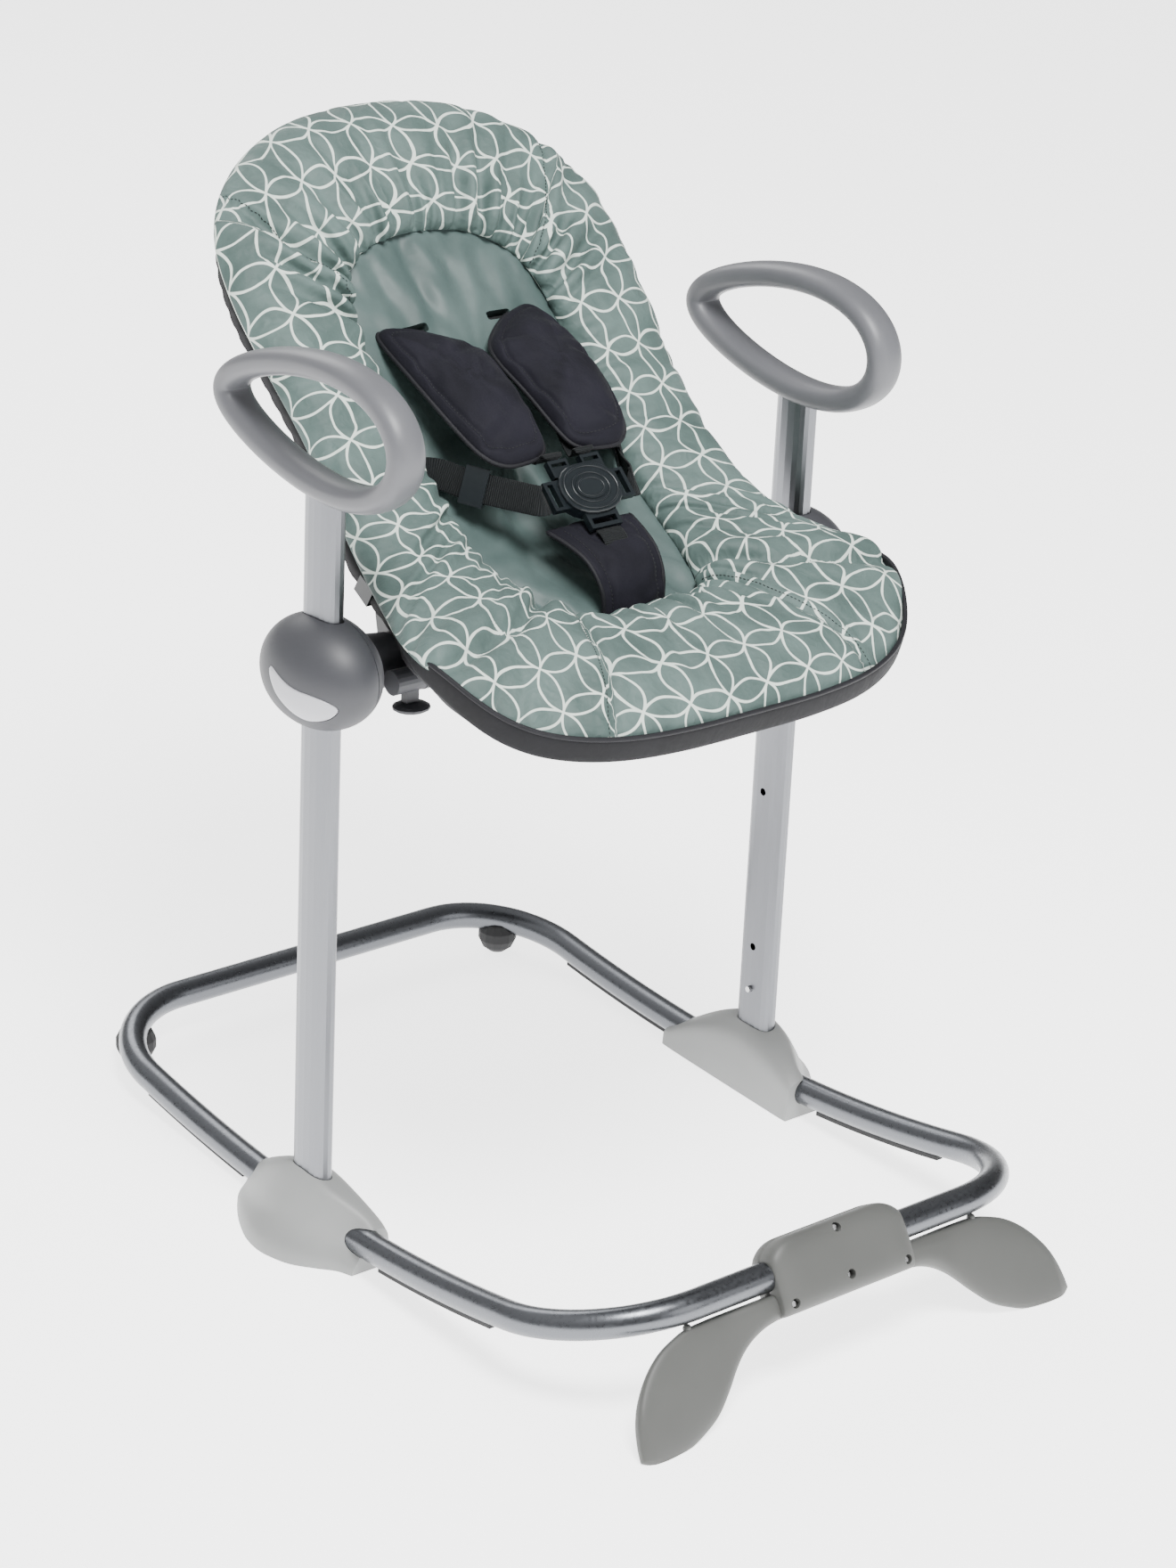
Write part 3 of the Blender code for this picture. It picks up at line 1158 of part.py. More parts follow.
def shoulder_frame(side):
    top = Vector((side * SHOULDER_TOP[0], *SHOULDER_TOP[1:]))
    bottom = Vector((side * SHOULDER_BOTTOM[0], *SHOULDER_BOTTOM[1:]))
    down = (bottom - top).normalized()
    across = Vector((side, 0.0, 0.0))
    out = across.cross(down)
    if out.z < 0:
        out = -out
    return top, down, across, out


def pad_arch(v):
    """Lift of the shoulder pads along their length, over the child's shoulder."""
    return SHOULDER_PAD_ARCH * math.sin(math.pi * v / SHOULDER_OUTLINE[5][1])


def crowned_pad(name, outline, place, thick, material, shares=(1.0, 0.9, 0.55)):
    """A stuffed pad: flat-pattern outline with a crown on both faces, drawn in at the edge."""
    middle = outline.mean(axis=0)
    size = len(outline)
    vertices, faces = [], []
    for sign in (1, -1):
        for share in shares:
            face = thick - PAD_UNDERSIDE if sign > 0 else -PAD_UNDERSIDE
            rise = face * (0.3 + 0.7 * (1 - share ** 3) ** 0.6)
            for point in outline:
                u, v = middle + (point - middle) * share
                vertices.append(place(u, v, rise))
        vertices.append(place(*middle, thick - PAD_UNDERSIDE if sign > 0 else -PAD_UNDERSIDE))
    sheet = len(shares) * size + 1
    for side in (0, 1):
        base = side * sheet
        for ring in range(len(shares) - 1):
            for j in range(size):
                k = (j + 1) % size
                faces.append((base + ring * size + j, base + ring * size + k,
                              base + (ring + 1) * size + k, base + (ring + 1) * size + j))
        last = base + (len(shares) - 1) * size
        for j in range(size):
            faces.append((last + j, last + (j + 1) % size, base + sheet - 1))
    for j in range(size):
        k = (j + 1) % size
        faces.append((j, k, sheet + k, sheet + j))
    mesh = bpy.data.meshes.new(name)
    mesh.from_pydata([tuple(v) for v in vertices], [], faces)
    bm = bmesh.new()
    bm.from_mesh(mesh)
    face_outward(bm)
    bm.to_mesh(mesh)
    bm.free()
    return add_part(name, mesh, material)


def make_shoulder(side, word):
    top, down, across, out = shoulder_frame(side)
    outline = smooth_curve(SHOULDER_OUTLINE, 22, closed=True)

    def place(u, v, rise):
        return top + across * u + down * v + out * (rise + pad_arch(v))

    crowned_pad(f"{word}_shoulder_pad", outline, place, SHOULDER_PAD_THICK, CHARCOAL_CLOTH)
    up = buckle_frame()[1]
    prong = Vector(BUCKLE_CENTRE) + across * UPPER_PRONG_X
    prong += up * (BUCKLE_HALF[1] + UPPER_PRONG_REACH + 2 * GAP)

    def under(v, inward):
        return top + down * v - across * inward + out * (pad_arch(v) - STRAP_UNDER_PAD)

    slot = [seat_point(top.x, STRAP_SLOT_S, INSERT_TOP + rise) for rise in (-0.022, -0.012, -0.002)]
    bend = seat_point(top.x, STRAP_SLOT_S - 0.004, INSERT_TOP + 0.0024)
    path = slot + [bend, under(0.02, 0.001), under(0.06, 0.007), under(0.11, 0.018), under(0.150, 0.0245),
                   prong + up * 0.007, prong + up * 0.001]
    path = smooth_curve([tuple(p) for p in path], 19)
    mesh = webbing_mesh("shoulder_strap", path, tuple(across), SHOULDER_WEBBING_WIDTH, WEBBING_THICK)
    add_part(f"{word}_shoulder_strap", mesh, WEBBING)


def waist_path(side):
    across, up, out = buckle_frame()
    end = Vector(BUCKLE_CENTRE) + across * side * (BUCKLE_HALF[0] + PRONG_REACH + 2 * GAP)
    points = [(side * 0.0922, 0.0585, 0.6290), (side * 0.079, 0.034, 0.6240), (side * 0.0625, 0.004, 0.6215),
              tuple(end + across * side * 0.008), tuple(end + across * side * 0.0012)]
    return smooth_curve(points, 16)


def make_waist_strap(side, word):
    path = waist_path(side)
    mesh = webbing_mesh("waist_strap", path, WAIST_STRAP_WIDTHWAYS, WEBBING_WIDTH, WEBBING_THICK)
    add_part(f"{word}_waist_strap", mesh, WEBBING)


def make_slider(side, word):
    """Adjuster frame round a waist strap."""
    path = waist_path(side)
    tangent = Vector(path[6] - path[4]).normalized()
    width = Vector(WAIST_STRAP_WIDTHWAYS)
    width = (width - tangent * width.dot(tangent)).normalized()
    turn = Matrix((tangent, width, tangent.cross(width))).transposed().to_4x4()
    half = WEBBING_WIDTH / 2 + 0.0005
    body = box_mesh("slider", (-0.0105, -half - 0.003, -0.0035), (0.0105, half + 0.003, 0.0035))
    slider = add_part(f"{word}_strap_slider", body, BLACK_PLASTIC)
    slider.matrix_local = Matrix.Translation(path[5]) @ turn
    slot = WEBBING_THICK / 2 + 0.0009
    cut(slider, box_mesh("strap_slot", (-0.03, -half, -slot), (0.03, half, slot)))


def make_crotch_pad():
    """Padded strap that rises from the front of the insert to the buckle."""
    line = smooth_curve(CROTCH_PATH, 11)
    tangent = np.gradient(line, axis=0)
    tangent /= np.linalg.norm(tangent, axis=1)[:, None]
    rings = []
    for i, ((y, z), (ty, tz)) in enumerate(zip(line, tangent)):
        share = i / (len(line) - 1)
        narrow, wide = CROTCH_PAD_HALF_WIDTHS
        half = narrow + (wide - narrow) * share ** 1.5
        closing = min(1.0, 0.35 + 4 * share, 0.35 + 4 * (1 - share))
        section = oval(half, CROTCH_PAD_THICK / 2 * closing, 2.6, 12)
        rings.append([(u, y - v * tz, z + v * ty) for u, v in section])
    pad = add_part("crotch_pad", loft_mesh("crotch_pad", rings), CHARCOAL_CLOTH)
    cut(pad, box_mesh("strap_slot", (-0.0135, -0.0670, 0.5600), (0.0135, -0.0560, 0.61)))
    across, up, out = buckle_frame()
    start = Vector(BUCKLE_CENTRE) - up * (BUCKLE_HALF[1] + 0.0130)
    path = smooth_curve([tuple(start), (0.0, -0.0545, 0.5945), (0.0, -0.0600, 0.5900), (0.0, -0.0625, 0.5830),
                         (0.0, -0.0632, 0.5765)], 9)
    mesh = webbing_mesh("crotch_strap", path, (1.0, 0.0, 0.0), WEBBING_WIDTH, WEBBING_THICK)
    add_part("crotch_strap", mesh, WEBBING)


# Front foot

def foot_matrix():
    """Foot axes: X to the left, Y down its blades, Z out of its front face; origin on the tube's axis."""
    across = Vector((-1.0, 0.0, 0.0))
    down = Vector((0.0, -math.sin(FOOT_LEAN), -math.cos(FOOT_LEAN)))
    front = Vector((0.0, -math.cos(FOOT_LEAN), math.sin(FOOT_LEAN)))
    turn = Matrix((across, down, front)).transposed().to_4x4()
    return Matrix.Translation((0.0, -BASE_FRONT, rail_height(-BASE_FRONT))) @ turn


def block_half_mesh(name, sign):
    """Front or back half of the clamp block, flat on the seam through the tube's axis."""
    rings = []
    for share in (-1.0, -0.98, -0.92, -0.78, 0.0, 0.78, 0.92, 0.98, 1.0):
        corner = max(0.0, abs(share) - 0.6) / 0.4
        top = -BLOCK_TOP + 0.012 * corner ** 2.5
        middle, half = (BLOCK_FOOT + top) / 2, (BLOCK_FOOT - top) / 2 * (1 - 0.02 * corner ** 8)
        depth = BLOCK_HALF_DEPTH - BLOCK_SEAM - 0.0035 * corner ** 4
        ring = []
        for u, v in oval(half, depth, 4.5, 14)[:8]:
            ring.append((share * BLOCK_HALF_WIDTH, middle + u, sign * (BLOCK_SEAM + max(v, 0.0))))
        rings.append(ring)
    return loft_mesh(name, rings)


def blade_mesh(name, side):
    """One leaf-shaped blade, its root let into the block, trimmed flat on the floor."""
    upper = smooth_curve(FOOT_UPPER_EDGE, 60)
    lower = smooth_curve(FOOT_LOWER_EDGE, 60)
    neck_front = FOOT_BLADE_FRONT + 0.005
    stations = [(BLOCK_HALF_WIDTH - 0.006, 0.0150, 0.0355, BLOCK_SEAM + GAP, neck_front),
                (BLOCK_HALF_WIDTH + GAP, 0.0150, 0.0358, BLOCK_SEAM + GAP, neck_front),
                (BLOCK_HALF_WIDTH + 4 * GAP, 0.0150, 0.0359, FOOT_BLADE_BACK, neck_front)]
    for x in (0.092, 0.116, 0.138, 0.159, 0.180, 0.200, 0.216, 0.2285, 0.2357):
        share = min(1.0, max(0.0, (x - 0.080) / 0.05))
        front = neck_front + (FOOT_BLADE_FRONT - neck_front) * share
        thin = max(0.25, min(1.0, (0.2372 - x) / 0.009)) ** 0.5
        middle, half = (FOOT_BLADE_BACK + front) / 2, (front - FOOT_BLADE_BACK) / 2 * thin
        stations.append((x, np.interp(x, upper[:, 0], upper[:, 1]), np.interp(x, lower[:, 0], lower[:, 1]),
                         middle - half, middle + half))
    rings = []
    for x, high, low, back, front in stations:
        rings.append([(side * x, (high + low) / 2 + u, (back + front) / 2 + v)
                      for u, v in oval((low - high) / 2, (front - back) / 2, 2.8, 10)])
    matrix = foot_matrix()
    bm = bmesh.new()
    bm.from_mesh(placed(loft_mesh(name, rings), matrix))
    cut_at_floor(bm)
    return mesh_from_bmesh(name, bm, matrix.inverted())


def make_front_foot():
    matrix = foot_matrix()
    foot = add_part("front_foot", block_half_mesh("front_foot", 1), FOOT_PLASTIC)
    foot.matrix_local = matrix
    unite(foot, blade_mesh("left_blade", 1), blade_mesh("right_blade", -1))
    cap = add_part("front_foot_cap", block_half_mesh("front_foot_cap", -1), FOOT_PLASTIC)
    cap.matrix_local = matrix
    bore = placed(cylinder_mesh("bore", TUBE_RADIUS + SLIDE_GAP + 0.0001, 0.2, segments=30), along_x(),
                  Matrix.Translation((-0.1, 0.0, 0.0)))
    cut(foot, bore)
    cut(cap, bore.copy())
    recess_floor = BLOCK_HALF_DEPTH - 0.0075
    foot_holes, cap_holes = [], []
    for number, (x, r) in enumerate(FOOT_SCREWS, 1):
        shape = [(0.0, recess_floor + 0.0026), (FOOT_SCREW_HEAD_RADIUS - 0.0008, recess_floor + 0.0026),
                 (FOOT_SCREW_HEAD_RADIUS, recess_floor + 0.0016),
                 (FOOT_SCREW_HEAD_RADIUS, recess_floor + GAP),
                 (FOOT_SCREW_SHANK_RADIUS, recess_floor + GAP), (FOOT_SCREW_SHANK_RADIUS, -0.0085),
                 (0.0, -0.0085)]
        screw = add_part(f"front_foot_screw_{number}", turned_mesh("screw", shape, 10), STEEL)
        screw.matrix_local = matrix @ Matrix.Translation((x, r, 0.0))
        hole = [(0.0, 0.03), (FOOT_SCREW_RECESS_RADIUS, 0.03), (FOOT_SCREW_RECESS_RADIUS, recess_floor),
                (FOOT_SCREW_SHANK_RADIUS + GAP, recess_floor), (FOOT_SCREW_SHANK_RADIUS + GAP, -0.009),
                (0.0, -0.009)]
        foot_holes.append(placed(turned_mesh("hole", hole, 10), Matrix.Translation((x, r, 0.0))))
        cap_holes.append(placed(turned_mesh("hole", hole, 10), Matrix.Translation((x, r, 0.0))))
    cut(foot, joined_mesh("foot_holes", foot_holes))
    cut(cap, joined_mesh("cap_holes", cap_holes))
    for side in (-1, 1):
        bm = bmesh.new()
        bmesh.ops.create_uvsphere(bm, u_segments=8, v_segments=6, radius=NUB_RADIUS)
        top = np.interp(NUB_X, [p[0] for p in FOOT_UPPER_EDGE], [p[1] for p in FOOT_UPPER_EDGE])
        middle_n = (FOOT_BLADE_BACK + FOOT_BLADE_FRONT) / 2
        unite(foot, mesh_from_bmesh("nub", bm, Matrix.Translation((side * NUB_X, top + GAP, middle_n))))


def build():
    make_base_tube()
    for side, word in ((-1, "left"), (1, "right")):
        make_grip_strips(side, word)
        make_rear_foot(side, f"{word}_rear_foot")
        make_rivets_and_stop(side, word)
        make_post_housing(side, f"{word}_post_housing")
        make_post(side, f"{word}_post")
        make_ring_handle(side, f"{word}_ring_handle")
        make_hub_shells(side, word)
        make_sleeve(side, word)
        make_release(side, word)
        make_pivot(side, word)
        make_seat_bracket(side, word)
        make_recline_lever(side, word)
        make_shoulder(side, word)
        make_waist_strap(side, word)
        make_slider(side, word)
    make_padded_border()
    make_insert_pad()
    make_seat_cover()
    make_seat_frame()
    make_buckle()
    make_crotch_pad()
    make_front_foot()


build()
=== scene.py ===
import math

import bmesh
import bpy
import numpy as np
from mathutils import Matrix, Vector


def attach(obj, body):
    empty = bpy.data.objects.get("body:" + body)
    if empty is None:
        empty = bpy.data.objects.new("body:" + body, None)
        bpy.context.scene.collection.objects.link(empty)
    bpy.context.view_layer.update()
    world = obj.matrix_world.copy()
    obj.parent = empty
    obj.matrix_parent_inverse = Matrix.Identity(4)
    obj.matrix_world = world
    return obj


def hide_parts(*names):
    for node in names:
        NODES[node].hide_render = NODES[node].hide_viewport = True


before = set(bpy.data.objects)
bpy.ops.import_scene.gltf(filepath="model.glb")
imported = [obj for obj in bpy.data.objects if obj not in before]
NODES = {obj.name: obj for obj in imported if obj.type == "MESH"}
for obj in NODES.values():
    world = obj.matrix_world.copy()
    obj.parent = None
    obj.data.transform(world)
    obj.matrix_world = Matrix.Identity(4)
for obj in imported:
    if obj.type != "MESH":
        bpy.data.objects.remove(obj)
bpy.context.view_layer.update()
SIDES = ((-1, "left"), (1, "right"))

# The posts lean back a little: shapes are set out with upright posts and carried over by stance()
STANCE_ANGLE = math.radians(2.8)
STANCE_SHIFT_Y = 0.0278

# Sizes shared with the CAD source, in metres
TUBE_RADIUS = 0.0125
RAIL_HEIGHT = 0.019
FRONT_RISE, BACK_RISE = 0.378, 0.29
BASE_FRONT, BASE_BACK = 0.369, 0.3525
FRONT_HALF_WIDTH, BACK_HALF_WIDTH = 0.2495, 0.2406
FRONT_CORNER, BACK_CORNER = 0.104, 0.096
HOUSING_INNER_X = 0.2225
HOUSING_STATIONS = ((-0.0745, 0.0345, 0.2635), (-0.062, 0.0415, 0.2685), (-0.048, 0.0490, 0.2815),
                    (-0.032, 0.0560, 0.2950), (-0.015, 0.0615, 0.3020), (0.002, 0.0640, 0.3050),
                    (0.022, 0.0610, 0.3025), (0.042, 0.0540, 0.2950), (0.060, 0.0450, 0.2855),
                    (0.076, 0.0350, 0.2750), (0.088, 0.0270, 0.2655), (0.098, 0.0210, 0.2530))
POST_X = 0.25
POST_HALF = (0.0105, 0.021)
RING_CENTRE = (0.0135, 0.711)
RING_HALF_LENGTH, RING_HALF_HEIGHT, RING_EGG = 0.115, 0.047, 0.27
RING_SECTION = (0.016, 0.011)
HUB_CENTRE = (0.253, -0.003, 0.5105)
HUB_HALF = (0.043, 0.060, 0.047)
HUB_SEAM_X = 0.2375
BUTTON_PROUD = 0.0012
BUTTON_OUTLINE = ((0.0085, 0.5195), (-0.0175, 0.5105), (-0.0425, 0.5060), (-0.0530, 0.4985),
                  (-0.0460, 0.4885), (-0.0328, 0.4825), (-0.0205, 0.4835), (-0.0075, 0.4925),
                  (0.0030, 0.5040))
PIVOT_YZ = (0.002, 0.505)
BOSS_RADII = (0.026, 0.021)
BOSS_X = (0.2215, 0.1795)
KNEE_Y, KNEE_Z, KNEE_RADIUS = 0.020, 0.578, 0.30
PAN_SLOPE, BACK_SLOPE, PAN_LENGTH = math.radians(18), math.radians(46.5), 0.284
SEAT_OUTLINE = ((0.0, 0.014), (0.070, 0.015), (0.128, 0.0225), (0.175, 0.040), (0.2085, 0.066),
                (0.2325, 0.103), (0.241, 0.140), (0.230, 0.183), (0.2145, 0.228), (0.2045, 0.275),
                (0.1975, 0.330), (0.196, 0.400), (0.2015, 0.470), (0.2045, 0.523),
                (0.200, 0.570), (0.1875, 0.607), (0.164, 0.640), (0.127, 0.670),
                (0.0725, 0.692), (0.0, 0.700))
BORDER_OUTLINE = (*SEAT_OUTLINE[:15], (0.1875, 0.604), (0.164, 0.635), (0.127, 0.663), (0.0725, 0.6845),
                  (0.0, 0.692))
OPENING_OUTLINE = ((0.0, 0.1620), (0.050, 0.1625), (0.074, 0.178), (0.089, 0.214), (0.097, 0.260),
                   (0.0975, 0.330), (0.0985, 0.400), (0.1025, 0.465), (0.0975, 0.512), (0.082, 0.540),
                   (0.050, 0.560), (0.0, 0.567))
COVER_OUTLINE = ((0.0, 0.017), (0.070, 0.018), (0.126, 0.0255), (0.172, 0.043), (0.205, 0.069),
                 (0.2285, 0.105), (0.2345, 0.140), (0.222, 0.178), (0.2085, 0.205),
                 (0.199, 0.228), (0.196, 0.275), (0.194, 0.305), (0.188, 0.335),
                 (0.1865, 0.400), (0.192, 0.470), (0.195, 0.520), (0.190, 0.563),
                 (0.177, 0.597), (0.154, 0.628), (0.118, 0.656), (0.068, 0.677), (0.0, 0.684))
BORDER_CREST, FRONT_CREST, HEAD_CREST = 0.028, 0.035, 0.026
BORDER_EDGE, BORDER_BOTTOM = 0.004, 0.0115
COVER_TOP, COVER_BOTTOM, COVER_REACH = -0.0310, -0.0360, 0.0235
INSERT_TOP, INSERT_BOTTOM = -0.0065, -0.0292
BUCKLE_CENTRE = (0.0, -0.0215, 0.6210)
BUCKLE_SLOPE = math.radians(42.5)
BUCKLE_HALF = (0.030, 0.0235, 0.0065)
SHOULDER_TOP, SHOULDER_BOTTOM = (0.044, 0.148, 0.713), (0.044, 0.0115, 0.642)
SHOULDER_OUTLINE = ((0.038, -0.012), (0.043, 0.045), (0.041, 0.095), (0.033, 0.135), (0.018, 0.152),
                    (-0.004, 0.154), (-0.026, 0.148), (-0.034, 0.128), (-0.038, 0.085), (-0.040, 0.046),
                    (-0.032, 0.022), (-0.008, 0.000), (0.018, -0.014))
SHOULDER_PAD_THICK = 0.023
CROTCH_PATH = ((-0.0860, 0.5360), (-0.0830, 0.5600), (-0.0690, 0.5785), (-0.0480, 0.5880),
               (-0.0240, 0.5940))
CROTCH_PAD_THICK = 0.011
WEBBING_WIDTH, WEBBING_THICK = 0.025, 0.0018
STRAP_SLOT_S = 0.478
FOOT_LEAN = math.radians(31)
BLOCK_HALF_WIDTH, BLOCK_TOP, BLOCK_FOOT, BLOCK_HALF_DEPTH = 0.072, 0.026, 0.0355, 0.0185
BLADE_BACK, BLADE_FRONT = -0.011, 0.002
FOOT_UPPER_EDGE = ((0.074, 0.0150), (0.100, 0.0150), (0.135, 0.0150), (0.157, 0.0160),
                   (0.172, 0.0195), (0.190, 0.0265), (0.207, 0.0385), (0.221, 0.0545),
                   (0.230, 0.0710), (0.2345, 0.0870), (0.2360, 0.0975))
FOOT_LOWER_EDGE = ((0.074, 0.0360), (0.088, 0.0385), (0.102, 0.0440), (0.114, 0.0520),
                   (0.124, 0.0615), (0.136, 0.0745), (0.152, 0.0890), (0.170, 0.0985),
                   (0.190, 0.1055), (0.212, 0.1090), (0.226, 0.1070), (0.2360, 0.1015))
FOOT_SCREWS = ((0.0, -0.0190), (0.0, 0.0205), (-0.062, 0.0265), (0.062, 0.0265))
SCREW_RECESS_RADIUS, SCREW_RECESS_FLOOR = 0.0041, 0.0110
BLADE_ROOT, BLADE_TIP = 0.060, 0.2360
NUB_PLACE, NUB_RADIUS = (0.157, 0.0160, -0.0045), 0.0036
HOUSING_BORE, HUB_BORE, BORE_GAP = (0.034, 0.12), (0.44, 0.58), 0.0006
LEVER_PLACE, LEVER_HOLE_RADIUS, LEVER_HOLE_X = (-0.0365, 0.501), 0.0111, (0.176, 0.2088)
TUBE_GAP, FLOOR_GAP = 0.0004, 0.0002

# Looks
CIRCLE_SPACING = 0.042
PRINT_LINE = 0.0018
BORDER_STATIONS, BORDER_SIDES, BORDER_LOOP = 360, 44, 1.95
HEAD_SEAMS = (0.40, 0.61)
FRONT_SEAMS = (0.068, 0.932)
SEAM_LEAN = 0.02
CORNER_FOLDS = ((0.09, 0.055), (0.91, -0.055))
PIPING_RADIUS, THREAD_RADIUS = 0.0021, 0.00045
SHOULDER_LENGTH, SHOULDER_ARCH, SHOULDER_UNDER = 0.154, 0.006, 0.0035
CROTCH_STITCH_LINE = 0.78
CAMERA_PLACE = (-2.0131, -2.2742, 1.7642)
CAMERA_RIGHT, CAMERA_FORWARD = (0.7702, -0.6334, 0.0745), (0.6006, 0.6811, -0.4189)
CAMERA_LENS, PHOTO_HEIGHT, CAMERA_SHIFT = 91.44, 1760, (3, 8.7)
FLOOR_RINGS, FLOOR_GLOW, LIGHT_AIM = (0.2, 2.0, 6.0, 14.0), 2.7, (0, 0, 0.4)
LIGHTS = (("key_light", (-0.5, -1.1, 3.0), 1.2, 150), ("fill_light", (1.0, -3.2, 1.5), 2.2, 34),
          ("rim_light", (0.6, 2.8, 2.4), 1.8, 40))
BUCKLE_RIMS = (("buckle_rim", "seat", 0.0262, 0.0197, 0.0012, 0.0066),
               ("buckle_inner_rim", "seat", 0.0182, 0.0137, 0.0009, 0.0066),
               ("buckle_button_rim", "harness_button", 0.0128, 0.0085, 0.0008, 0.0069))


# Points and curves

def stance(points):
    """Turns points about the X axis by the stance angle and moves them to the object's middle."""
    points = np.asarray(points, dtype=float)
    x, y, z = points[..., 0], points[..., 1], points[..., 2]
    c, s = math.cos(STANCE_ANGLE), math.sin(STANCE_ANGLE)
    return np.stack([x, y * c + z * s + STANCE_SHIFT_Y, z * c - y * s], axis=-1)


def unit(vectors):
    """Vectors divided by their lengths."""
    return vectors / np.maximum(np.linalg.norm(vectors, axis=-1, keepdims=True), 1e-12)


def smooth_curve(points, count, closed=False):
    """A cubic curve through the points, whose slope at each follows its two neighbours, resampled at even
    steps of length."""
    points = np.asarray(points, dtype=float)
    if closed:
        padded = np.vstack([points[-1], points, points[0], points[1]])
    else:
        padded = np.vstack([2 * points[0] - points[1], points, 2 * points[-1] - points[-2]])
    t = np.linspace(0, 1, 24, endpoint=False)[None, :, None]
    a, b, c, d = (padded[i:len(padded) - 3 + i, None] for i in range(4))
    dense = 0.5 * (2 * b + (c - a) * t + (2 * a - 5 * b + 4 * c - d) * t ** 2
                   + (3 * b - a - 3 * c + d) * t ** 3)
    dense = np.vstack([dense.reshape(-1, points.shape[1]), points[:1] if closed else points[-1:]])
    run = np.concatenate([[0], np.cumsum(np.linalg.norm(np.diff(dense, axis=0), axis=1))])
    wanted = np.linspace(0, run[-1], count + 1)[:-1] if closed else np.linspace(0, run[-1], count)
    return np.stack([np.interp(wanted, run, dense[:, axis]) for axis in range(dense.shape[1])], axis=1)


def bell(gap, width):
    """One in the middle, falling off as the exponential of minus the square of the gap over the width."""
    return np.exp(-(gap / width) ** 2)


def past(value, place, width):
    """Nought before the place and one past it, by an S-shaped step of the given width."""
    return 1 / (1 + np.exp(-(value - place) / width))


def oval(half_x, half_y, roundness, count):
    """A superellipse: cosine and sine raised to two over the roundness, scaled to the half sizes."""
    angle = np.arange(count) * 2 * np.pi / count
    c, s = np.cos(angle), np.sin(angle)
    return np.stack([half_x * np.sign(c) * np.abs(c) ** (2 / roundness),
                     half_y * np.sign(s) * np.abs(s) ** (2 / roundness)], axis=1)


def spine(s):
    """Seat profile at run s: a straight pan, an arc at the knee, a straight back; y, z and slope."""
    bend = BACK_SLOPE - PAN_SLOPE
    tangent = KNEE_RADIUS * math.tan(bend / 2)
    pan_end = PAN_LENGTH - tangent
    arc_end = pan_end + KNEE_RADIUS * bend
    slope = PAN_SLOPE + np.clip((s - pan_end) / KNEE_RADIUS, 0, bend)
    before, after = np.minimum(s - pan_end, 0), np.maximum(s - arc_end, 0)
    y = (KNEE_Y - tangent * math.cos(PAN_SLOPE) + KNEE_RADIUS * (np.sin(slope) - math.sin(PAN_SLOPE))
         + before * math.cos(PAN_SLOPE) + after * math.cos(BACK_SLOPE))
    z = (KNEE_Z - tangent * math.sin(PAN_SLOPE) + KNEE_RADIUS * (math.cos(PAN_SLOPE) - np.cos(slope))
         + before * math.sin(PAN_SLOPE) + after * math.sin(BACK_SLOPE))
    return y, z, slope


def above_spine(x, s, rise):
    """Points at run s of the profile, moved out along its normal by the rise; posts still upright."""
    y, z, slope = spine(s)
    return np.stack([x, y - rise * np.sin(slope), z + rise * np.cos(slope)], axis=-1)


def seat_points(x, s, h):
    """Carries flat-pattern points into space: along the spine, then out along its normal by the height
    and by the lift of the pan's sides, a square ramp across times a bell along."""
    ramp = np.maximum(0, np.abs(x) - 0.14) / 0.10
    return stance(above_spine(x, s, h + 0.020 * ramp ** 2 * bell(s - 0.125, 0.070)))


def seat_normals(s):
    """Unit normals of the seat's profile at run s."""
    slope = spine(s)[2]
    return stance(np.stack([0 * s, -np.sin(slope), np.cos(slope)], axis=-1)) - stance(np.zeros(3))


def full_outline(half, count, inset=0.0):
    """A closed outline from its right half, moved inwards by the inset."""
    half = list(half)
    line = smooth_curve(half + [(-x, s) for x, s in half[-2:0:-1]], count, closed=True)
    tangent = unit(np.roll(line, -1, axis=0) - np.roll(line, 1, axis=0))
    return line + np.stack([-tangent[:, 1], tangent[:, 0]], axis=1) * inset


def edge_distance(x, s, outline):
    """Least distance from each point to the points of an outline."""
    flat = np.stack([np.ravel(x), np.ravel(s)], axis=1)
    gaps = [np.min(np.hypot(*(part[:, None] - outline[None]).transpose(2, 0, 1)), axis=1)
            for part in np.array_split(flat, 24)]
    return np.concatenate(gaps).reshape(np.shape(x))


def noise(shape, waves, seed):
    """Smooth waviness on a grid: a seeded sum of sines of whole wave numbers, about -1 to 1."""
    rng = np.random.default_rng(seed)
    a = np.arange(shape[0])[:, None] * 2 * np.pi / shape[0]
    b = np.arange(shape[1])[None] * 2 * np.pi / shape[1]
    total = np.zeros(shape)
    for _ in range(14):
        m, n = rng.integers(1, waves[0] + 1), rng.integers(0, waves[1] + 1)
        total += np.sin(a * m + b * n * rng.choice([-1, 1]) + rng.uniform(0, 2 * np.pi))
    return total / 4


# Grids to meshes

def refine(grid, loop=False):
    """Cubic subdivision of a grid: old points are eased by one six one weights, new ones are halfway."""
    def along(points, closed):
        if closed:
            before, after = np.roll(points, 1, axis=0), np.roll(points, -1, axis=0)
        else:
            before = np.concatenate([points[:1], points[:-1]])
            after = np.concatenate([points[1:], points[-1:]])
        old = (before + 6 * points + after) / 8
        if not closed:
            old[0], old[-1] = points[0], points[-1]
        halfway = (points + after) / 2
        mixed = np.stack([old, halfway], axis=1).reshape(-1, *points.shape[1:])
        return mixed if closed else mixed[:-1]
    grid = along(grid, loop)
    return along(grid.swapaxes(0, 1), True).swapaxes(0, 1)


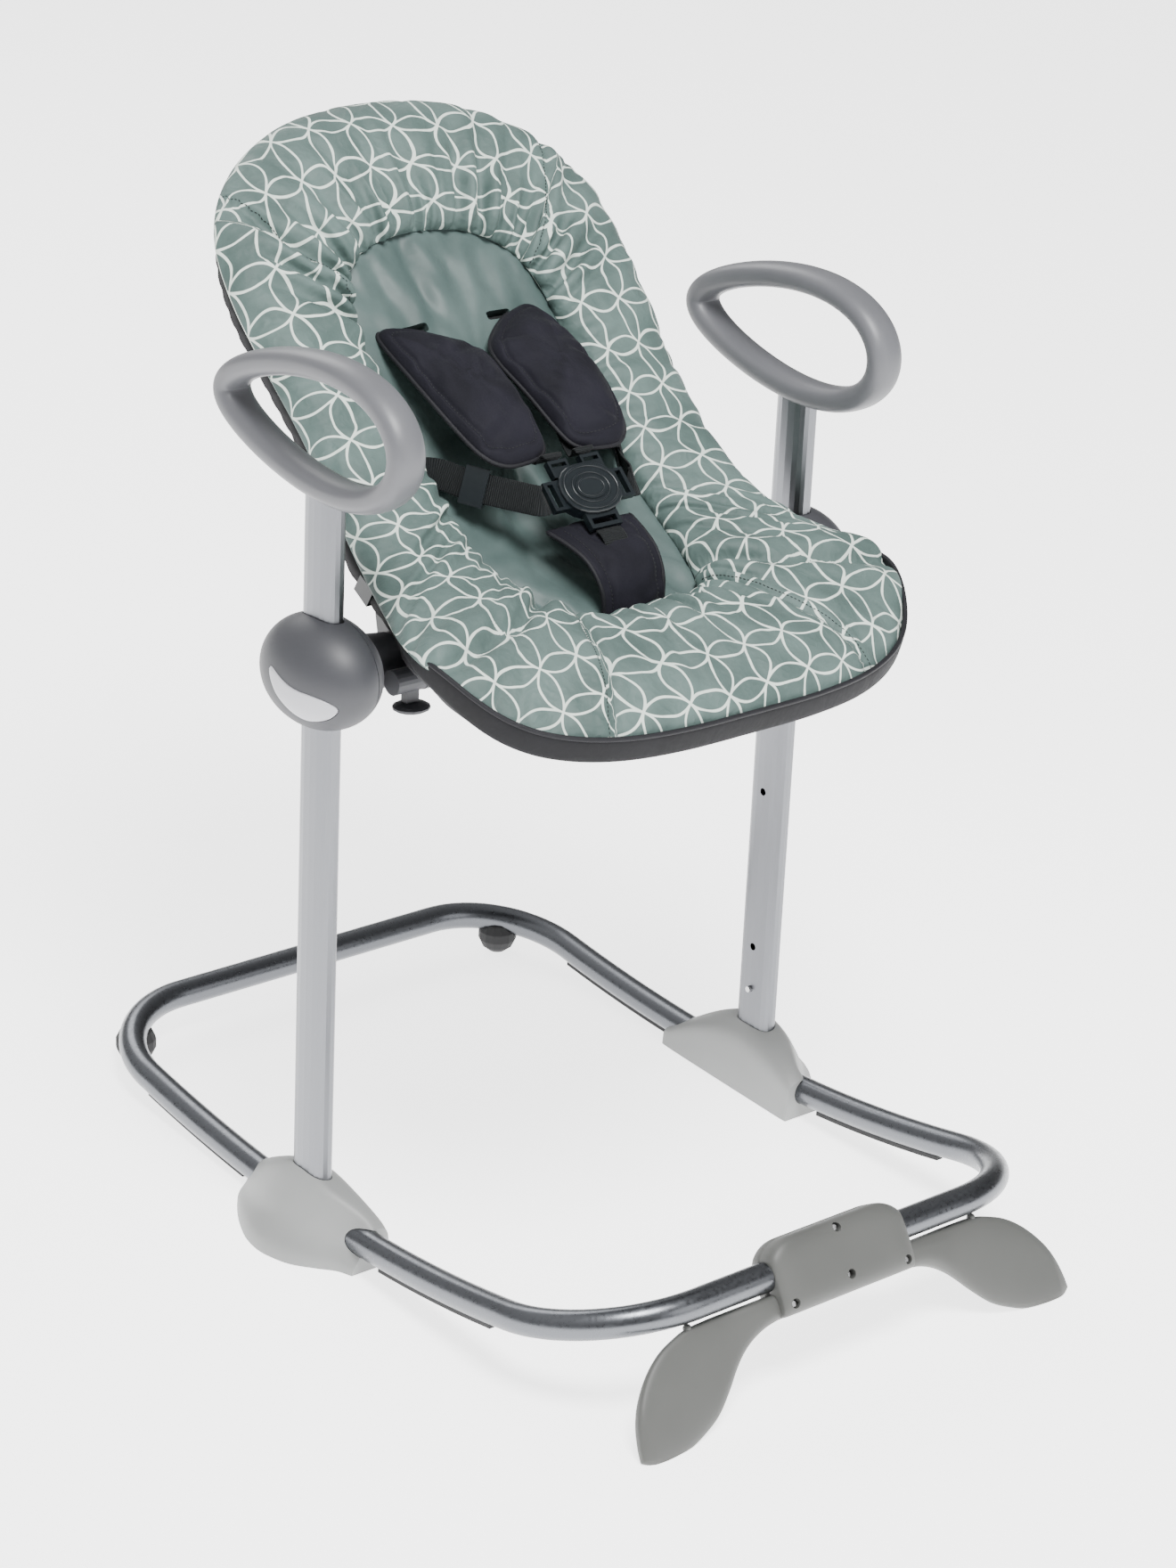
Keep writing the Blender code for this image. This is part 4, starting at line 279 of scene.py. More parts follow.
def grid_normals(grid, loop=False):
    """Unit normals of a grid from the cross product of its two central differences."""
    down = np.roll(grid, -1, axis=0) - np.roll(grid, 1, axis=0) if loop else np.gradient(grid, axis=0)
    around = np.roll(grid, -1, axis=1) - np.roll(grid, 1, axis=1)
    return unit(np.cross(around, down))


def surface(name, grid, loop=False, flat=None):
    """A mesh over a grid of points whose columns close round. Rows close too with loop; otherwise a fan
    closes each end. The UV map is in metres: from flat, or else the lengths round and along the grid."""
    rows, cols = grid.shape[:2]
    index = np.arange(rows * cols).reshape(rows, cols)
    right = np.roll(index, -1, axis=1)
    vertices = grid.reshape(-1, 3)
    if flat is None:
        around = np.linalg.norm(np.roll(grid, -1, axis=1) - grid, axis=2).mean(axis=0)
        steps = np.linalg.norm(np.roll(grid, -1, axis=0) - grid, axis=2).mean(axis=1)
        u = np.concatenate([[0], np.cumsum(around)])
        v = np.concatenate([[0], np.cumsum(steps)])
        flat = np.stack(np.broadcast_arrays(u[None, :], v[:, None]), axis=-1)
    if loop:
        lower, lower_right = np.roll(index, -1, axis=0), np.roll(right, -1, axis=0)
        quads = np.stack([index, right, lower_right, lower], axis=-1)
        uv = np.stack([flat[:-1, :-1], flat[:-1, 1:], flat[1:, 1:], flat[1:, :-1]], axis=2)
    else:
        quads = np.stack([index[:-1], right[:-1], right[1:], index[1:]], axis=-1)
        uv = np.stack([flat[:rows - 1, :-1], flat[:rows - 1, 1:], flat[1:rows, 1:], flat[1:rows, :-1]],
                      axis=2)
    faces = quads.reshape(-1, 4).tolist()
    uv = uv.reshape(-1, 2)
    if not loop:
        tips = np.stack([grid[0].mean(axis=0), grid[-1].mean(axis=0)])
        vertices = np.vstack([vertices, tips])
        first = np.stack([right[0], index[0], np.full(cols, rows * cols)], axis=1)
        last = np.stack([index[-1], right[-1], np.full(cols, rows * cols + 1)], axis=1)
        faces += first.tolist() + last.tolist()
        for edge, pair in ((flat[0], (flat[0, 1:], flat[0, :-1])), (flat[-1], (flat[-1, :-1], flat[-1, 1:]))):
            middle = np.broadcast_to(edge[:-1].mean(axis=0), edge[:-1].shape)
            uv = np.vstack([uv, np.stack([*pair, middle], axis=1).reshape(-1, 2)])
    mesh = bpy.data.meshes.new(name)
    mesh.from_pydata(vertices.tolist(), [], faces)
    layer = mesh.uv_layers.new(name="cloth")
    layer.data.foreach_set("uv", uv.astype(np.float32).ravel())
    bm = bmesh.new()
    bm.from_mesh(mesh)
    if bm.calc_volume(signed=True) < 0:
        bmesh.ops.reverse_faces(bm, faces=bm.faces[:])
    bm.to_mesh(mesh)
    bm.free()
    mesh.shade_smooth()
    piece = bpy.data.objects.new(name, mesh)
    bpy.context.scene.collection.objects.link(piece)
    return piece


def sweep(path, section, across=None, closed=False):
    """A grid of a section carried along a path: its first axis follows across, its second the binormal."""
    path = np.asarray(path, dtype=float)
    if closed:
        tangent = unit(np.roll(path, -1, axis=0) - np.roll(path, 1, axis=0))
    else:
        tangent = unit(np.gradient(path, axis=0))
    across = np.broadcast_to(np.asarray(across if across is not None else (0, 0, 1), float), path.shape)
    side = unit(across - tangent * np.sum(across * tangent, axis=1, keepdims=True))
    other = np.cross(tangent, side)
    section = np.asarray(section)
    if section.ndim == 2:
        section = np.broadcast_to(section, (len(path), *section.shape))
    return path[:, None] + side[:, None] * section[..., :1] + other[:, None] * section[..., 1:]


def rounded_ends(section, count, depth):
    """Scales a section down over its first and last rows, as a quarter circle, to round off the ends."""
    rows = np.arange(count)
    near = np.minimum(np.minimum(rows, count - 1 - rows) / depth, 1)
    return section[None] * np.sqrt(1 - (1 - np.maximum(near, 0.08)) ** 2)[:, None, None]


def crease_profile(gap, width):
    """Section across a crease: a narrow bell, less a softer bell on each side where the cloth swells."""
    return bell(gap, width) - 0.45 * bell(np.abs(gap) - 2.1 * width, 1.2 * width)


def wrinkles(flat, count, lengths, widths, depth, angles, seed, low=None, high=None):
    """Depth of seeded creases on a flat pattern. Each is a narrow bell across a slightly bent line that
    fades along it, with a soft swell on both sides."""
    rng = np.random.default_rng(seed)
    low = flat.reshape(-1, 2).min(axis=0) if low is None else low
    high = flat.reshape(-1, 2).max(axis=0) if high is None else high
    total = np.zeros(flat.shape[:-1])
    for _ in range(count):
        at, angle = rng.uniform(low, high), rng.uniform(*angles)
        length, width, bend = rng.uniform(*lengths), rng.uniform(*widths), rng.uniform(-5, 5)
        gap = flat - at
        along = gap[..., 0] * math.cos(angle) + gap[..., 1] * math.sin(angle)
        across = gap[..., 1] * math.cos(angle) - gap[..., 0] * math.sin(angle) + bend * along ** 2
        total += rng.uniform(0.4, 1.0) * depth * crease_profile(across, width) * bell(along, length)
    return total


def stitches(name, path, up, body="seat", pitch=0.0036, length=0.0024):
    """Thread dashes along a path: short bars, four-sided and thickest halfway, one at every pitch."""
    up = np.broadcast_to(up, path.shape)
    run = np.concatenate([[0], np.cumsum(np.linalg.norm(np.diff(path, axis=0), axis=1))])
    at = np.arange(0, run[-1] - length, pitch)[:, None] + length * np.array([0.0, 0.3, 0.7, 1.0])
    points = np.stack([np.interp(at, run, path[:, k]) for k in range(3)], axis=-1)
    normal = unit(np.stack([np.interp(at, run, up[:, k]) for k in range(3)], axis=-1))
    side = unit(np.cross(points[:, -1:] - points[:, :1], normal))
    size = THREAD_RADIUS * np.array([0.35, 1.0, 1.0, 0.35])[:, None, None]
    corners = np.array([(1, 0), (0, 1), (-1, 0), (0, -1)])[None]
    places = (points[:, :, None] + normal[:, :, None] * (0.0001 + size * corners[..., 1:])
              + side[:, :, None] * size * corners[..., :1])
    index = np.arange(places.shape[0] * 16).reshape(-1, 4, 4)
    beside = np.roll(index, -1, axis=2)
    quads = np.stack([index[:, :-1], beside[:, :-1], beside[:, 1:], index[:, 1:]], axis=-1).reshape(-1, 4)
    faces = quads.tolist() + index[:, 0, ::-1].tolist() + index[:, -1].tolist()
    mesh = bpy.data.meshes.new(name)
    mesh.from_pydata(places.reshape(-1, 3).tolist(), [], faces)
    mesh.shade_smooth()
    piece = bpy.data.objects.new(name, mesh)
    bpy.context.scene.collection.objects.link(piece)
    return finish_piece(piece, body, THREAD, "charcoal_cloth")


def finish_piece(piece, body, material, slot_name, *replaced):
    """Gives a piece its material and body, and hides the CAD nodes that it takes the place of. The slot name
    is not used.
    """
    piece.data.materials.clear()
    piece.data.materials.append(material)
    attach(piece, body)
    if replaced:
        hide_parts(*replaced)
    return piece


def cut_away(piece, *tools):
    """Takes closed shapes out of a piece with Blender's exact cut and keeps the result as its mesh."""
    for tool in tools:
        modifier = piece.modifiers.new("cut", "BOOLEAN")
        modifier.operation = "DIFFERENCE"
        modifier.solver = "EXACT"
        modifier.object = tool
        evaluated = piece.evaluated_get(bpy.context.evaluated_depsgraph_get())
        mesh = bpy.data.meshes.new_from_object(evaluated)
        piece.modifiers.clear()
        piece.data = mesh
        bpy.data.objects.remove(tool)
    piece.data.set_sharp_from_angle(angle=math.radians(38))


def trim_floor(piece):
    """Cuts a piece off flat just above the floor and closes it there."""
    bm = bmesh.new()
    bm.from_mesh(piece.data)
    bmesh.ops.bisect_plane(bm, geom=bm.verts[:] + bm.edges[:] + bm.faces[:], plane_co=(0, 0, FLOOR_GAP),
                           plane_no=(0, 0, -1), clear_outer=True)
    bmesh.ops.holes_fill(bm, edges=[edge for edge in bm.edges if edge.is_boundary], sides=0)
    bm.to_mesh(piece.data)
    bm.free()


def weight_group(piece, name, weights):
    """A vertex group whose weights are rounded to tenths, so that each step is set in one call."""
    group = piece.vertex_groups.new(name=name)
    steps = np.rint(np.clip(weights, 0, 1) * 10).astype(int)
    for step in range(1, 11):
        members = np.nonzero(steps == step)[0].tolist()
        if members:
            group.add(members, step / 10, "REPLACE")
    return name


def inflate(grid, held, spare, growth, cap, pressure=4.0, loop=False, frames=20, stiffness=15.0):
    """Blows a closed form up with Blender's cloth: held points stay, spare ones grow cloth that folds, and
    no point moves further than the cap."""
    piece = surface("cloth_trial", grid, loop=loop)
    extra = len(piece.data.vertices) - held.size
    weight_group(piece, "held", np.concatenate([held.ravel(), np.zeros(extra)]))
    weight_group(piece, "spare", np.concatenate([spare.ravel(), np.zeros(extra)]))
    modifier = piece.modifiers.new("cloth", "CLOTH")
    modifier.collision_settings.use_collision = False
    settings = modifier.settings
    settings.quality = 5
    settings.tension_stiffness = settings.compression_stiffness = stiffness
    settings.bending_stiffness = 0.1
    settings.vertex_group_mass = "held"
    settings.vertex_group_shrink = "spare"
    settings.shrink_min, settings.shrink_max = 0.0, -growth
    settings.use_pressure = True
    settings.uniform_pressure_force = pressure
    settings.effector_weights.gravity = 0
    scene = bpy.context.scene
    for number in range(1, frames + 1):
        scene.frame_set(number)
    evaluated = piece.evaluated_get(bpy.context.evaluated_depsgraph_get())
    moved = np.empty(len(piece.data.vertices) * 3)
    evaluated.data.vertices.foreach_get("co", moved)
    moved = moved.reshape(-1, 3)[:held.size].reshape(grid.shape)
    scene.frame_set(1)
    bpy.data.objects.remove(piece)
    step = moved - grid
    length = np.linalg.norm(step, axis=-1, keepdims=True)
    return grid + step * np.minimum(1, cap / np.maximum(length, 1e-9))


# Materials

class Tree:
    """Adds nodes to a node tree, and links or sets their inputs."""

    def __init__(self, tree):
        self.tree = tree

    def put(self, socket, value):
        if isinstance(value, bpy.types.NodeSocket):
            self.tree.links.new(value, socket)
        else:
            socket.default_value = value

    def add(self, kind, values=(), out=0, **settings):
        node = self.tree.nodes.new("ShaderNode" + kind)
        for key, value in settings.items():
            setattr(node, key, value)
        for key, value in (values.items() if isinstance(values, dict) else enumerate(values)):
            self.put(node.inputs[key], value)
        return node.outputs[out]

    def math(self, operation, *values):
        return self.add("Math", values, operation=operation)

    def parts(self, vector):
        node = self.tree.nodes.new("ShaderNodeSeparateXYZ")
        self.put(node.inputs[0], vector)
        return node.outputs

    def mix(self, factor, a, b):
        return self.add("Mix", {0: factor, 6: a, 7: b}, out=2, data_type="RGBA")

    def ramp(self, value, low, high, to_low=0.0, to_high=1.0):
        return self.add("MapRange", {0: value, 1: low, 2: high, 3: to_low, 4: to_high},
                        interpolation_type="SMOOTHSTEP")


def new_group(name, inputs, outputs):
    """A shader node group with its named sockets: the group, its tree, its inputs and its results."""
    group = bpy.data.node_groups.new(name, "ShaderNodeTree")
    for label, kind, value in inputs:
        socket = group.interface.new_socket(label, in_out="INPUT", socket_type="NodeSocket" + kind)
        if value is not None:
            socket.default_value = value
    for label, kind in outputs:
        group.interface.new_socket(label, in_out="OUTPUT", socket_type="NodeSocket" + kind)
    tree = Tree(group)
    return group, tree, group.nodes.new("NodeGroupInput").outputs, group.nodes.new("NodeGroupOutput").inputs


def lattice_group():
    """Lines of overlapping circles on a square lattice. A point's distance from the two nearest circles
    that cross its cell, less the radius, is compared with half a line's width. Slow noise sways the lines
    and changes their width, as in hand printing."""
    inputs = (("Vector", "Vector", None), ("Spacing", "Float", CIRCLE_SPACING), ("Line", "Float", PRINT_LINE))
    group, tree, given, result = new_group("circle_lattice", inputs, (("Mask", "Float"),))
    place = given["Vector"]
    for scale, reach in ((7.0, 0.040), (38.0, 0.0055)):
        sway = tree.add("TexNoise", {"Vector": given["Vector"], "Scale": scale, "Detail": 0.0}, out=1)
        sway = tree.add("VectorMath", {0: sway, 1: (0.5, 0.5, 0.5)}, operation="SUBTRACT")
        sway = tree.add("VectorMath", {0: sway, "Scale": reach}, operation="SCALE")
        place = tree.add("VectorMath", (place, sway), operation="ADD")
    part = tree.parts(place)
    half = tree.math("MULTIPLY", given["Spacing"], 0.5)
    x, y = tree.math("PINGPONG", part[0], half), tree.math("PINGPONG", part[1], half)
    radius = tree.math("MULTIPLY", given["Spacing"], math.sqrt(0.5))

    def ring(a, b):
        far = tree.math("SUBTRACT", given["Spacing"], a)
        length = tree.math("SQRT", tree.math("ADD", tree.math("MULTIPLY", far, far),
                                             tree.math("MULTIPLY", b, b)))
        return tree.math("ABSOLUTE", tree.math("SUBTRACT", length, radius))

    near = tree.math("MINIMUM", ring(x, y), ring(y, x))
    width = tree.add("TexNoise", {"Vector": given["Vector"], "Scale": 60.0, "Detail": 1.0})
    width = tree.math("MULTIPLY", given["Line"], tree.math("MULTIPLY_ADD", width, 0.5, 0.25))
    soft = tree.math("ADD", width, 0.00035)
    tree.put(result["Mask"], tree.ramp(near, width, soft, 1.0, 0.0))
    return group


def weave_group():
    """Height of a plain weave: two crossed sine waves, with slubs from stretched noise."""
    group, tree, given, result = new_group(
        "weave", (("Vector", "Vector", None), ("Threads", "Float", 1600.0)), (("Height", "Float"),))
    part = tree.parts(given["Vector"])
    turn = tree.math("MULTIPLY", given["Threads"], 2 * math.pi)
    warp, weft = (tree.math("SINE", tree.math("MULTIPLY", part[k], turn)) for k in (0, 1))
    slub = tree.add("TexNoise", {"Vector": given["Vector"], "Scale": 900.0, "Detail": 1.0})
    crossed = tree.math("MULTIPLY", tree.math("MULTIPLY", warp, weft), 0.5)
    tree.put(result["Height"], tree.math("ADD", crossed, slub))
    return group


def pucker_group():
    """Soft hollows and creases of stuffed cloth: two layers of noise, the finer one ridged."""
    group, tree, given, result = new_group(
        "puckers", (("Vector", "Vector", None), ("Scale", "Float", 22.0)), (("Height", "Float"),))
    broad = tree.add("TexNoise", {"Vector": given["Vector"], "Scale": given["Scale"], "Detail": 2.0,
                                  "Distortion": 0.6})
    finer = tree.math("MULTIPLY", given["Scale"], 4.0)
    fine = tree.add("TexNoise", {"Vector": given["Vector"], "Scale": finer, "Detail": 1.0})
    crease = tree.math("ABSOLUTE", tree.math("SUBTRACT", fine, 0.5))
    tree.put(result["Height"], tree.math("SUBTRACT", broad, tree.math("MULTIPLY", crease, 0.35)))
    return group


def grain_group():
    """Moulded grain: fine noise for height, and a slow variation for colour."""
    group, tree, given, result = new_group(
        "moulded_grain", (("Vector", "Vector", None), ("Scale", "Float", 2600.0)),
        (("Height", "Float"), ("Shade", "Float")))
    for label, scale, detail in (("Height", given["Scale"], 2.0), ("Shade", 14.0, 3.0)):
        tree.put(result[label], tree.add("TexNoise", {"Vector": given["Vector"], "Scale": scale,
                                                      "Detail": detail}))
    return group


GROUPS = {"lattice": lattice_group(), "weave": weave_group(), "puckers": pucker_group(),
          "grain": grain_group()}


def use_group(tree, name, out, **values):
    """Places a group in a material with its own values, and gives the wanted outputs."""
    node = tree.tree.nodes.new("ShaderNodeGroup")
    node.node_tree = GROUPS[name]
    for key, value in values.items():
        tree.put(node.inputs[key], value)
    return [node.outputs[label] for label in out] if isinstance(out, tuple) else node.outputs[out]


def new_material(name):
    material = bpy.data.materials.new(name)
    material.use_nodes = True
    tree = Tree(material.node_tree)
    shader = material.node_tree.nodes["Principled BSDF"]
    return material, tree, shader


def cloth(name, light, dark, roughness, sheen, threads=1600.0, weave=0.12, puckers=0.0, scale=22.0,
          lines=None, specular=0.30, object_space=False):
    """Woven cloth: colour varies with slow noise and with the weave's height: darker in the hollows between
    threads, painted shade, and varied along the yarn's slubs; optional printed lattice.
    """
    material, tree, shader = new_material(name)
    if object_space:
        where = tree.add("TexCoord", out=3)
    else:
        where = tree.add("UVMap", uv_map="cloth")
    shade = tree.add("TexNoise", {"Vector": where, "Scale": 16.0, "Detail": 4.0})
    height = use_group(tree, "weave", "Height", Vector=where, Threads=threads)
    # Tone follows the weave's height: the hollows between threads are darkened as painted shade, and the
    # slubs vary it as real yarn does.
    tone = tree.math("ADD", tree.ramp(shade, 0.3, 0.7, 0.0, 0.75), tree.math("MULTIPLY", height, 0.22))
    colour = tree.mix(tone, (*dark, 1), (*light, 1))
    if lines:
        mask = use_group(tree, "lattice", "Mask", Vector=where, Spacing=CIRCLE_SPACING, Line=PRINT_LINE)
        colour = tree.mix(mask, colour, (*lines, 1))
        tree.put(shader.inputs["Roughness"], tree.ramp(mask, 0.0, 1.0, roughness, roughness + 0.12))
    else:
        shader.inputs["Roughness"].default_value = roughness
    tree.put(shader.inputs["Base Color"], colour)
    shader.inputs["Specular IOR Level"].default_value = specular
    shader.inputs["Sheen Weight"].default_value = sheen
    shader.inputs["Sheen Roughness"].default_value = 0.45
    normal = tree.add("Bump", {"Strength": weave, "Distance": 0.0004, "Height": height})
    if puckers:
        folds = use_group(tree, "puckers", "Height", Vector=where, Scale=scale)
        normal = tree.add("Bump", {"Strength": puckers, "Distance": 0.006, "Height": folds, "Normal": normal})
    tree.put(shader.inputs["Normal"], normal)
    return material


def webbing(name, colour):
    """Belt webbing: ribs across the strap from a sine along it, edged by finer side ribs, with the grooves
    between them darkened as painted shade.
    """
    material, tree, shader = new_material(name)
    part = tree.parts(tree.add("UVMap", uv_map="cloth"))
    rib = tree.math("SINE", tree.math("MULTIPLY", part[1], 2 * math.pi * 560))
    thread = tree.math("SINE", tree.math("MULTIPLY", part[0], 2 * math.pi * 1100))
    height = tree.math("ADD", rib, tree.math("MULTIPLY", thread, 0.35))
    # The grooves between the ribs are darkened to about two fifths of the colour: painted shade.
    tone = tree.ramp(height, -1.2, 1.2, 0.15, 1.0)
    low = tuple(c * 0.3 for c in colour)
    tree.put(shader.inputs["Base Color"], tree.mix(tone, (*low, 1), (*colour, 1)))
    shader.inputs["Roughness"].default_value = 0.62
    shader.inputs["Specular IOR Level"].default_value = 0.25
    shader.inputs["Sheen Weight"].default_value = 0.04
    normal = tree.add("Bump", {"Strength": 0.6, "Distance": 0.0005, "Height": height})
    tree.put(shader.inputs["Normal"], normal)
    return material


def plastic(name, colour, roughness, grain=0.10, worn=0.12, coat=0.0):
    """Moulded plastic: fine grain, slow colour variation and edges rubbed a little paler."""
    material, tree, shader = new_material(name)
    where = tree.add("TexCoord", out=3)
    height, shade = use_group(tree, "grain", ("Height", "Shade"), Vector=where)
    tone = tree.ramp(shade, 0.3, 0.7, 0.0, 1.0)
    low = tuple(c * 0.93 for c in colour)
    body = tree.mix(tone, (*low, 1), (*colour, 1))
    edge = tree.ramp(tree.add("NewGeometry", out="Pointiness"), 0.51, 0.60, 0.0, worn)
    pale = tuple(min(1.0, c * 1.5 + 0.04) for c in colour)
    tree.put(shader.inputs["Base Color"], tree.mix(edge, body, (*pale, 1)))
    tree.put(shader.inputs["Roughness"], tree.ramp(shade, 0.2, 0.8, roughness - 0.04, roughness + 0.05))
    shader.inputs["Coat Weight"].default_value = coat
    tree.put(shader.inputs["Normal"], tree.add("Bump", {"Strength": grain, "Distance": 0.0002,
                                                        "Height": height}))
    return material


def metal(name, colour, roughness, stretch, strength):
    """Drawn metal: noise stretched along the part for brush lines, in colour, gloss and height."""
    material, tree, shader = new_material(name)
    where = tree.add("TexCoord", out=3)
    where = tree.add("VectorMath", {0: where, 1: stretch}, operation="MULTIPLY")
    lines = tree.add("TexNoise", {"Vector": where, "Scale": 1.0, "Detail": 3.0})
    low = tuple(c * 0.90 for c in colour)
    tree.put(shader.inputs["Base Color"], tree.mix(lines, (*low, 1), (*colour, 1)))
    shader.inputs["Metallic"].default_value = 1.0
    tree.put(shader.inputs["Roughness"], tree.ramp(lines, 0.2, 0.8, roughness - 0.05, roughness + 0.07))
    tree.put(shader.inputs["Normal"], tree.add("Bump", {"Strength": strength, "Distance": 0.0002,
                                                        "Height": lines}))
    return material


PRINTED = cloth("printed_sage_cloth", (0.102, 0.150, 0.139), (0.052, 0.082, 0.075), 0.60, 0.03, puckers=0.75,
                scale=26.0, lines=(0.60, 0.67, 0.61))
SAGE = cloth("sage_satin", (0.082, 0.118, 0.112), (0.050, 0.077, 0.073), 0.46, 0.04, puckers=0.20, scale=14.0)
CHARCOAL = cloth("charcoal_satin", (0.0125, 0.0120, 0.0180), (0.006, 0.006, 0.009), 0.74, 0.03, puckers=0.22,
                 scale=24.0, specular=0.12)
# A darker copy of the charcoal cloth for the seat's cover and edge band: painted shade.
SHADED_CHARCOAL = cloth("charcoal_painted_shade", (0.0045, 0.0045, 0.0065), (0.002, 0.002, 0.003), 0.75, 0.0, puckers=0.3,
             scale=30.0)
THREAD = cloth("sewing_thread", (0.020, 0.022, 0.024), (0.008, 0.009, 0.010), 0.7, 0.0, threads=2600.0,
               object_space=True)
PIPING = cloth("charcoal_piping", (0.008, 0.008, 0.011), (0.004, 0.004, 0.006), 0.6, 0.02, weave=0.3)
BELT = webbing("black_ribbed_webbing", (0.0024, 0.0044, 0.0054))
ALUMINIUM = metal("satin_anodised_tube", (0.185, 0.190, 0.203), 0.33, (900.0, 900.0, 25.0), 0.05)
DRAWN = metal("satin_anodised_loop", (0.140, 0.146, 0.158), 0.30, (300.0, 300.0, 300.0), 0.04)
STEEL = metal("bright_steel_pin", (0.62, 0.62, 0.63), 0.25, (700.0, 700.0, 700.0), 0.05)
HUB_GREY = plastic("hub_grey_plastic", (0.040, 0.041, 0.047), 0.52)
RING_GREY = plastic("ring_grey_plastic", (0.105, 0.107, 0.116), 0.42)
HOUSING_GREY = plastic("housing_grey_plastic", (0.270, 0.276, 0.272), 0.48)
FOOT_GREY = plastic("foot_grey_plastic", (0.086, 0.088, 0.083), 0.50)
BUTTON_GREY = plastic("button_pale_plastic", (0.44, 0.44, 0.47), 0.32, grain=0.04, coat=0.3)
BLACK = plastic("black_acetal", (0.0045, 0.0075, 0.0095), 0.30, grain=0.06, worn=0.05)
RUBBER = plastic("matte_black_rubber", (0.014, 0.014, 0.015), 0.78, grain=0.25)


# Base

def rail_height(y):
    """Height of the rails' middle line: it rises with the square of the distance from the posts."""
    return RAIL_HEIGHT + np.where(y < 0, FRONT_RISE, BACK_RISE) * y * y


def base_path(corner_steps=26, rail_steps=60):
    """The loop in plan, straight sides joined by quarter circles, lifted by the square of its reach."""
    plan = [(x, -BASE_FRONT) for x in np.linspace(0.0, FRONT_HALF_WIDTH - FRONT_CORNER, 14)]
    for a in np.radians(np.linspace(-90, 0, corner_steps + 1)[1:]):
        plan.append((FRONT_HALF_WIDTH - FRONT_CORNER * (1 - math.cos(a)),
                     -BASE_FRONT + FRONT_CORNER * (1 + math.sin(a))))
    front, back = -BASE_FRONT + FRONT_CORNER, BASE_BACK - BACK_CORNER
    for y in np.linspace(front, back, rail_steps)[1:]:
        share = (y - front) / (back - front)
        plan.append((FRONT_HALF_WIDTH + (BACK_HALF_WIDTH - FRONT_HALF_WIDTH) * share, y))
    for a in np.radians(np.linspace(0, 90, corner_steps + 1)[1:]):
        plan.append((BACK_HALF_WIDTH - BACK_CORNER * (1 - math.cos(a)),
                     BASE_BACK - BACK_CORNER * (1 - math.sin(a))))
    plan += [(x, BASE_BACK) for x in np.linspace(BACK_HALF_WIDTH - BACK_CORNER, 0.0, 14)[1:]]
    plan = np.array(plan + [(-x, y) for x, y in plan[-2:0:-1]])
    return np.column_stack([plan, rail_height(plan[:, 1])])


def make_base():
    """Round section carried along the base path."""
    grid = sweep(base_path(), oval(TUBE_RADIUS, TUBE_RADIUS, 2.0, 32), closed=True)
    tube = surface("loop_tube", stance(grid), loop=True)
    finish_piece(tube, "base_frame", DRAWN, "satin_aluminium", "base_tube")


def housing_grid(side):
    """Arches across the rail at stations along it: straight inside, round top, scooped outside, with the
    first and last arches drawn in to round the ends off."""
    stations = smooth_curve(HOUSING_STATIONS, 56)
    rows = []
    for i, (y, top, outer) in enumerate(stations):
        bottom = min(y * math.tan(STANCE_ANGLE), 0.0) - 0.004
        inner = HOUSING_INNER_X
        ridge = inner + 0.42 * (outer - inner)
        rise, width = top - bottom, outer - inner
        arch = smooth_curve([(inner, bottom), (inner + 0.0015, bottom + 0.45 * rise),
                             (inner + 0.22 * (ridge - inner), bottom + 0.86 * rise), (ridge - 0.004, top),
                             (ridge + 0.10 * width, top - 0.03 * rise),
                             (inner + 0.68 * width, bottom + 0.70 * rise),
                             (inner + 0.80 * width, bottom + 0.44 * rise),
                             (inner + 0.95 * width, bottom + 0.24 * rise),
                             (outer, bottom + 0.02 * rise), (outer - 0.002, bottom)], 48)
        middle = np.array([(inner + outer) / 2, bottom])
        end = min(i, len(stations) - 1 - i)
        draw = (1.0, 0.972, 0.99, 1.0)[min(end + 1, 3)]
        arch = middle + (arch - middle) * draw
        rows.append(np.column_stack([side * arch[:, 0], np.full(len(arch), y), arch[:, 1]]))
    return stance(np.array(rows))


def prism(points_yz, start_x, end_x):
    """A straight bar along X whose ends are one outline in the YZ plane."""
    rows = [np.column_stack([np.full(len(points_yz), x), points_yz]) for x in (start_x, end_x)]
    return surface("prism", stance(np.array(rows)))


def post_bore(side, heights, gap):
    """An upright bar with the post's oval section, wider by the gap, between two heights."""
    outline = oval(POST_HALF[0] + gap, POST_HALF[1] + gap, 2.5, 48) + (side * POST_X, 0.0)
    rows = [np.column_stack([outline, np.full(len(outline), z)]) for z in heights]
    return surface("post_bore", stance(np.array(rows)))


def make_housings():
    """Housing arches cut off at the floor, less the post's oval bar and the tube carried along the rail."""
    for side, word in SIDES:
        housing = surface(f"{word}_housing_shell", housing_grid(side))
        trim_floor(housing)
        path = base_path()
        near = path[(np.sign(path[:, 0]) == side) & (np.abs(path[:, 1]) < 0.14)]
        near = near[np.argsort(near[:, 1])]
        bore = sweep(near, oval(TUBE_RADIUS + TUBE_GAP, TUBE_RADIUS + TUBE_GAP, 2.0, 32))
        cut_away(housing, post_bore(side, HOUSING_BORE, TUBE_GAP), surface("tube_bore", stance(bore)))
        finish_piece(housing, "base_frame", HOUSING_GREY, "housing_plastic", f"{word}_post_housing")


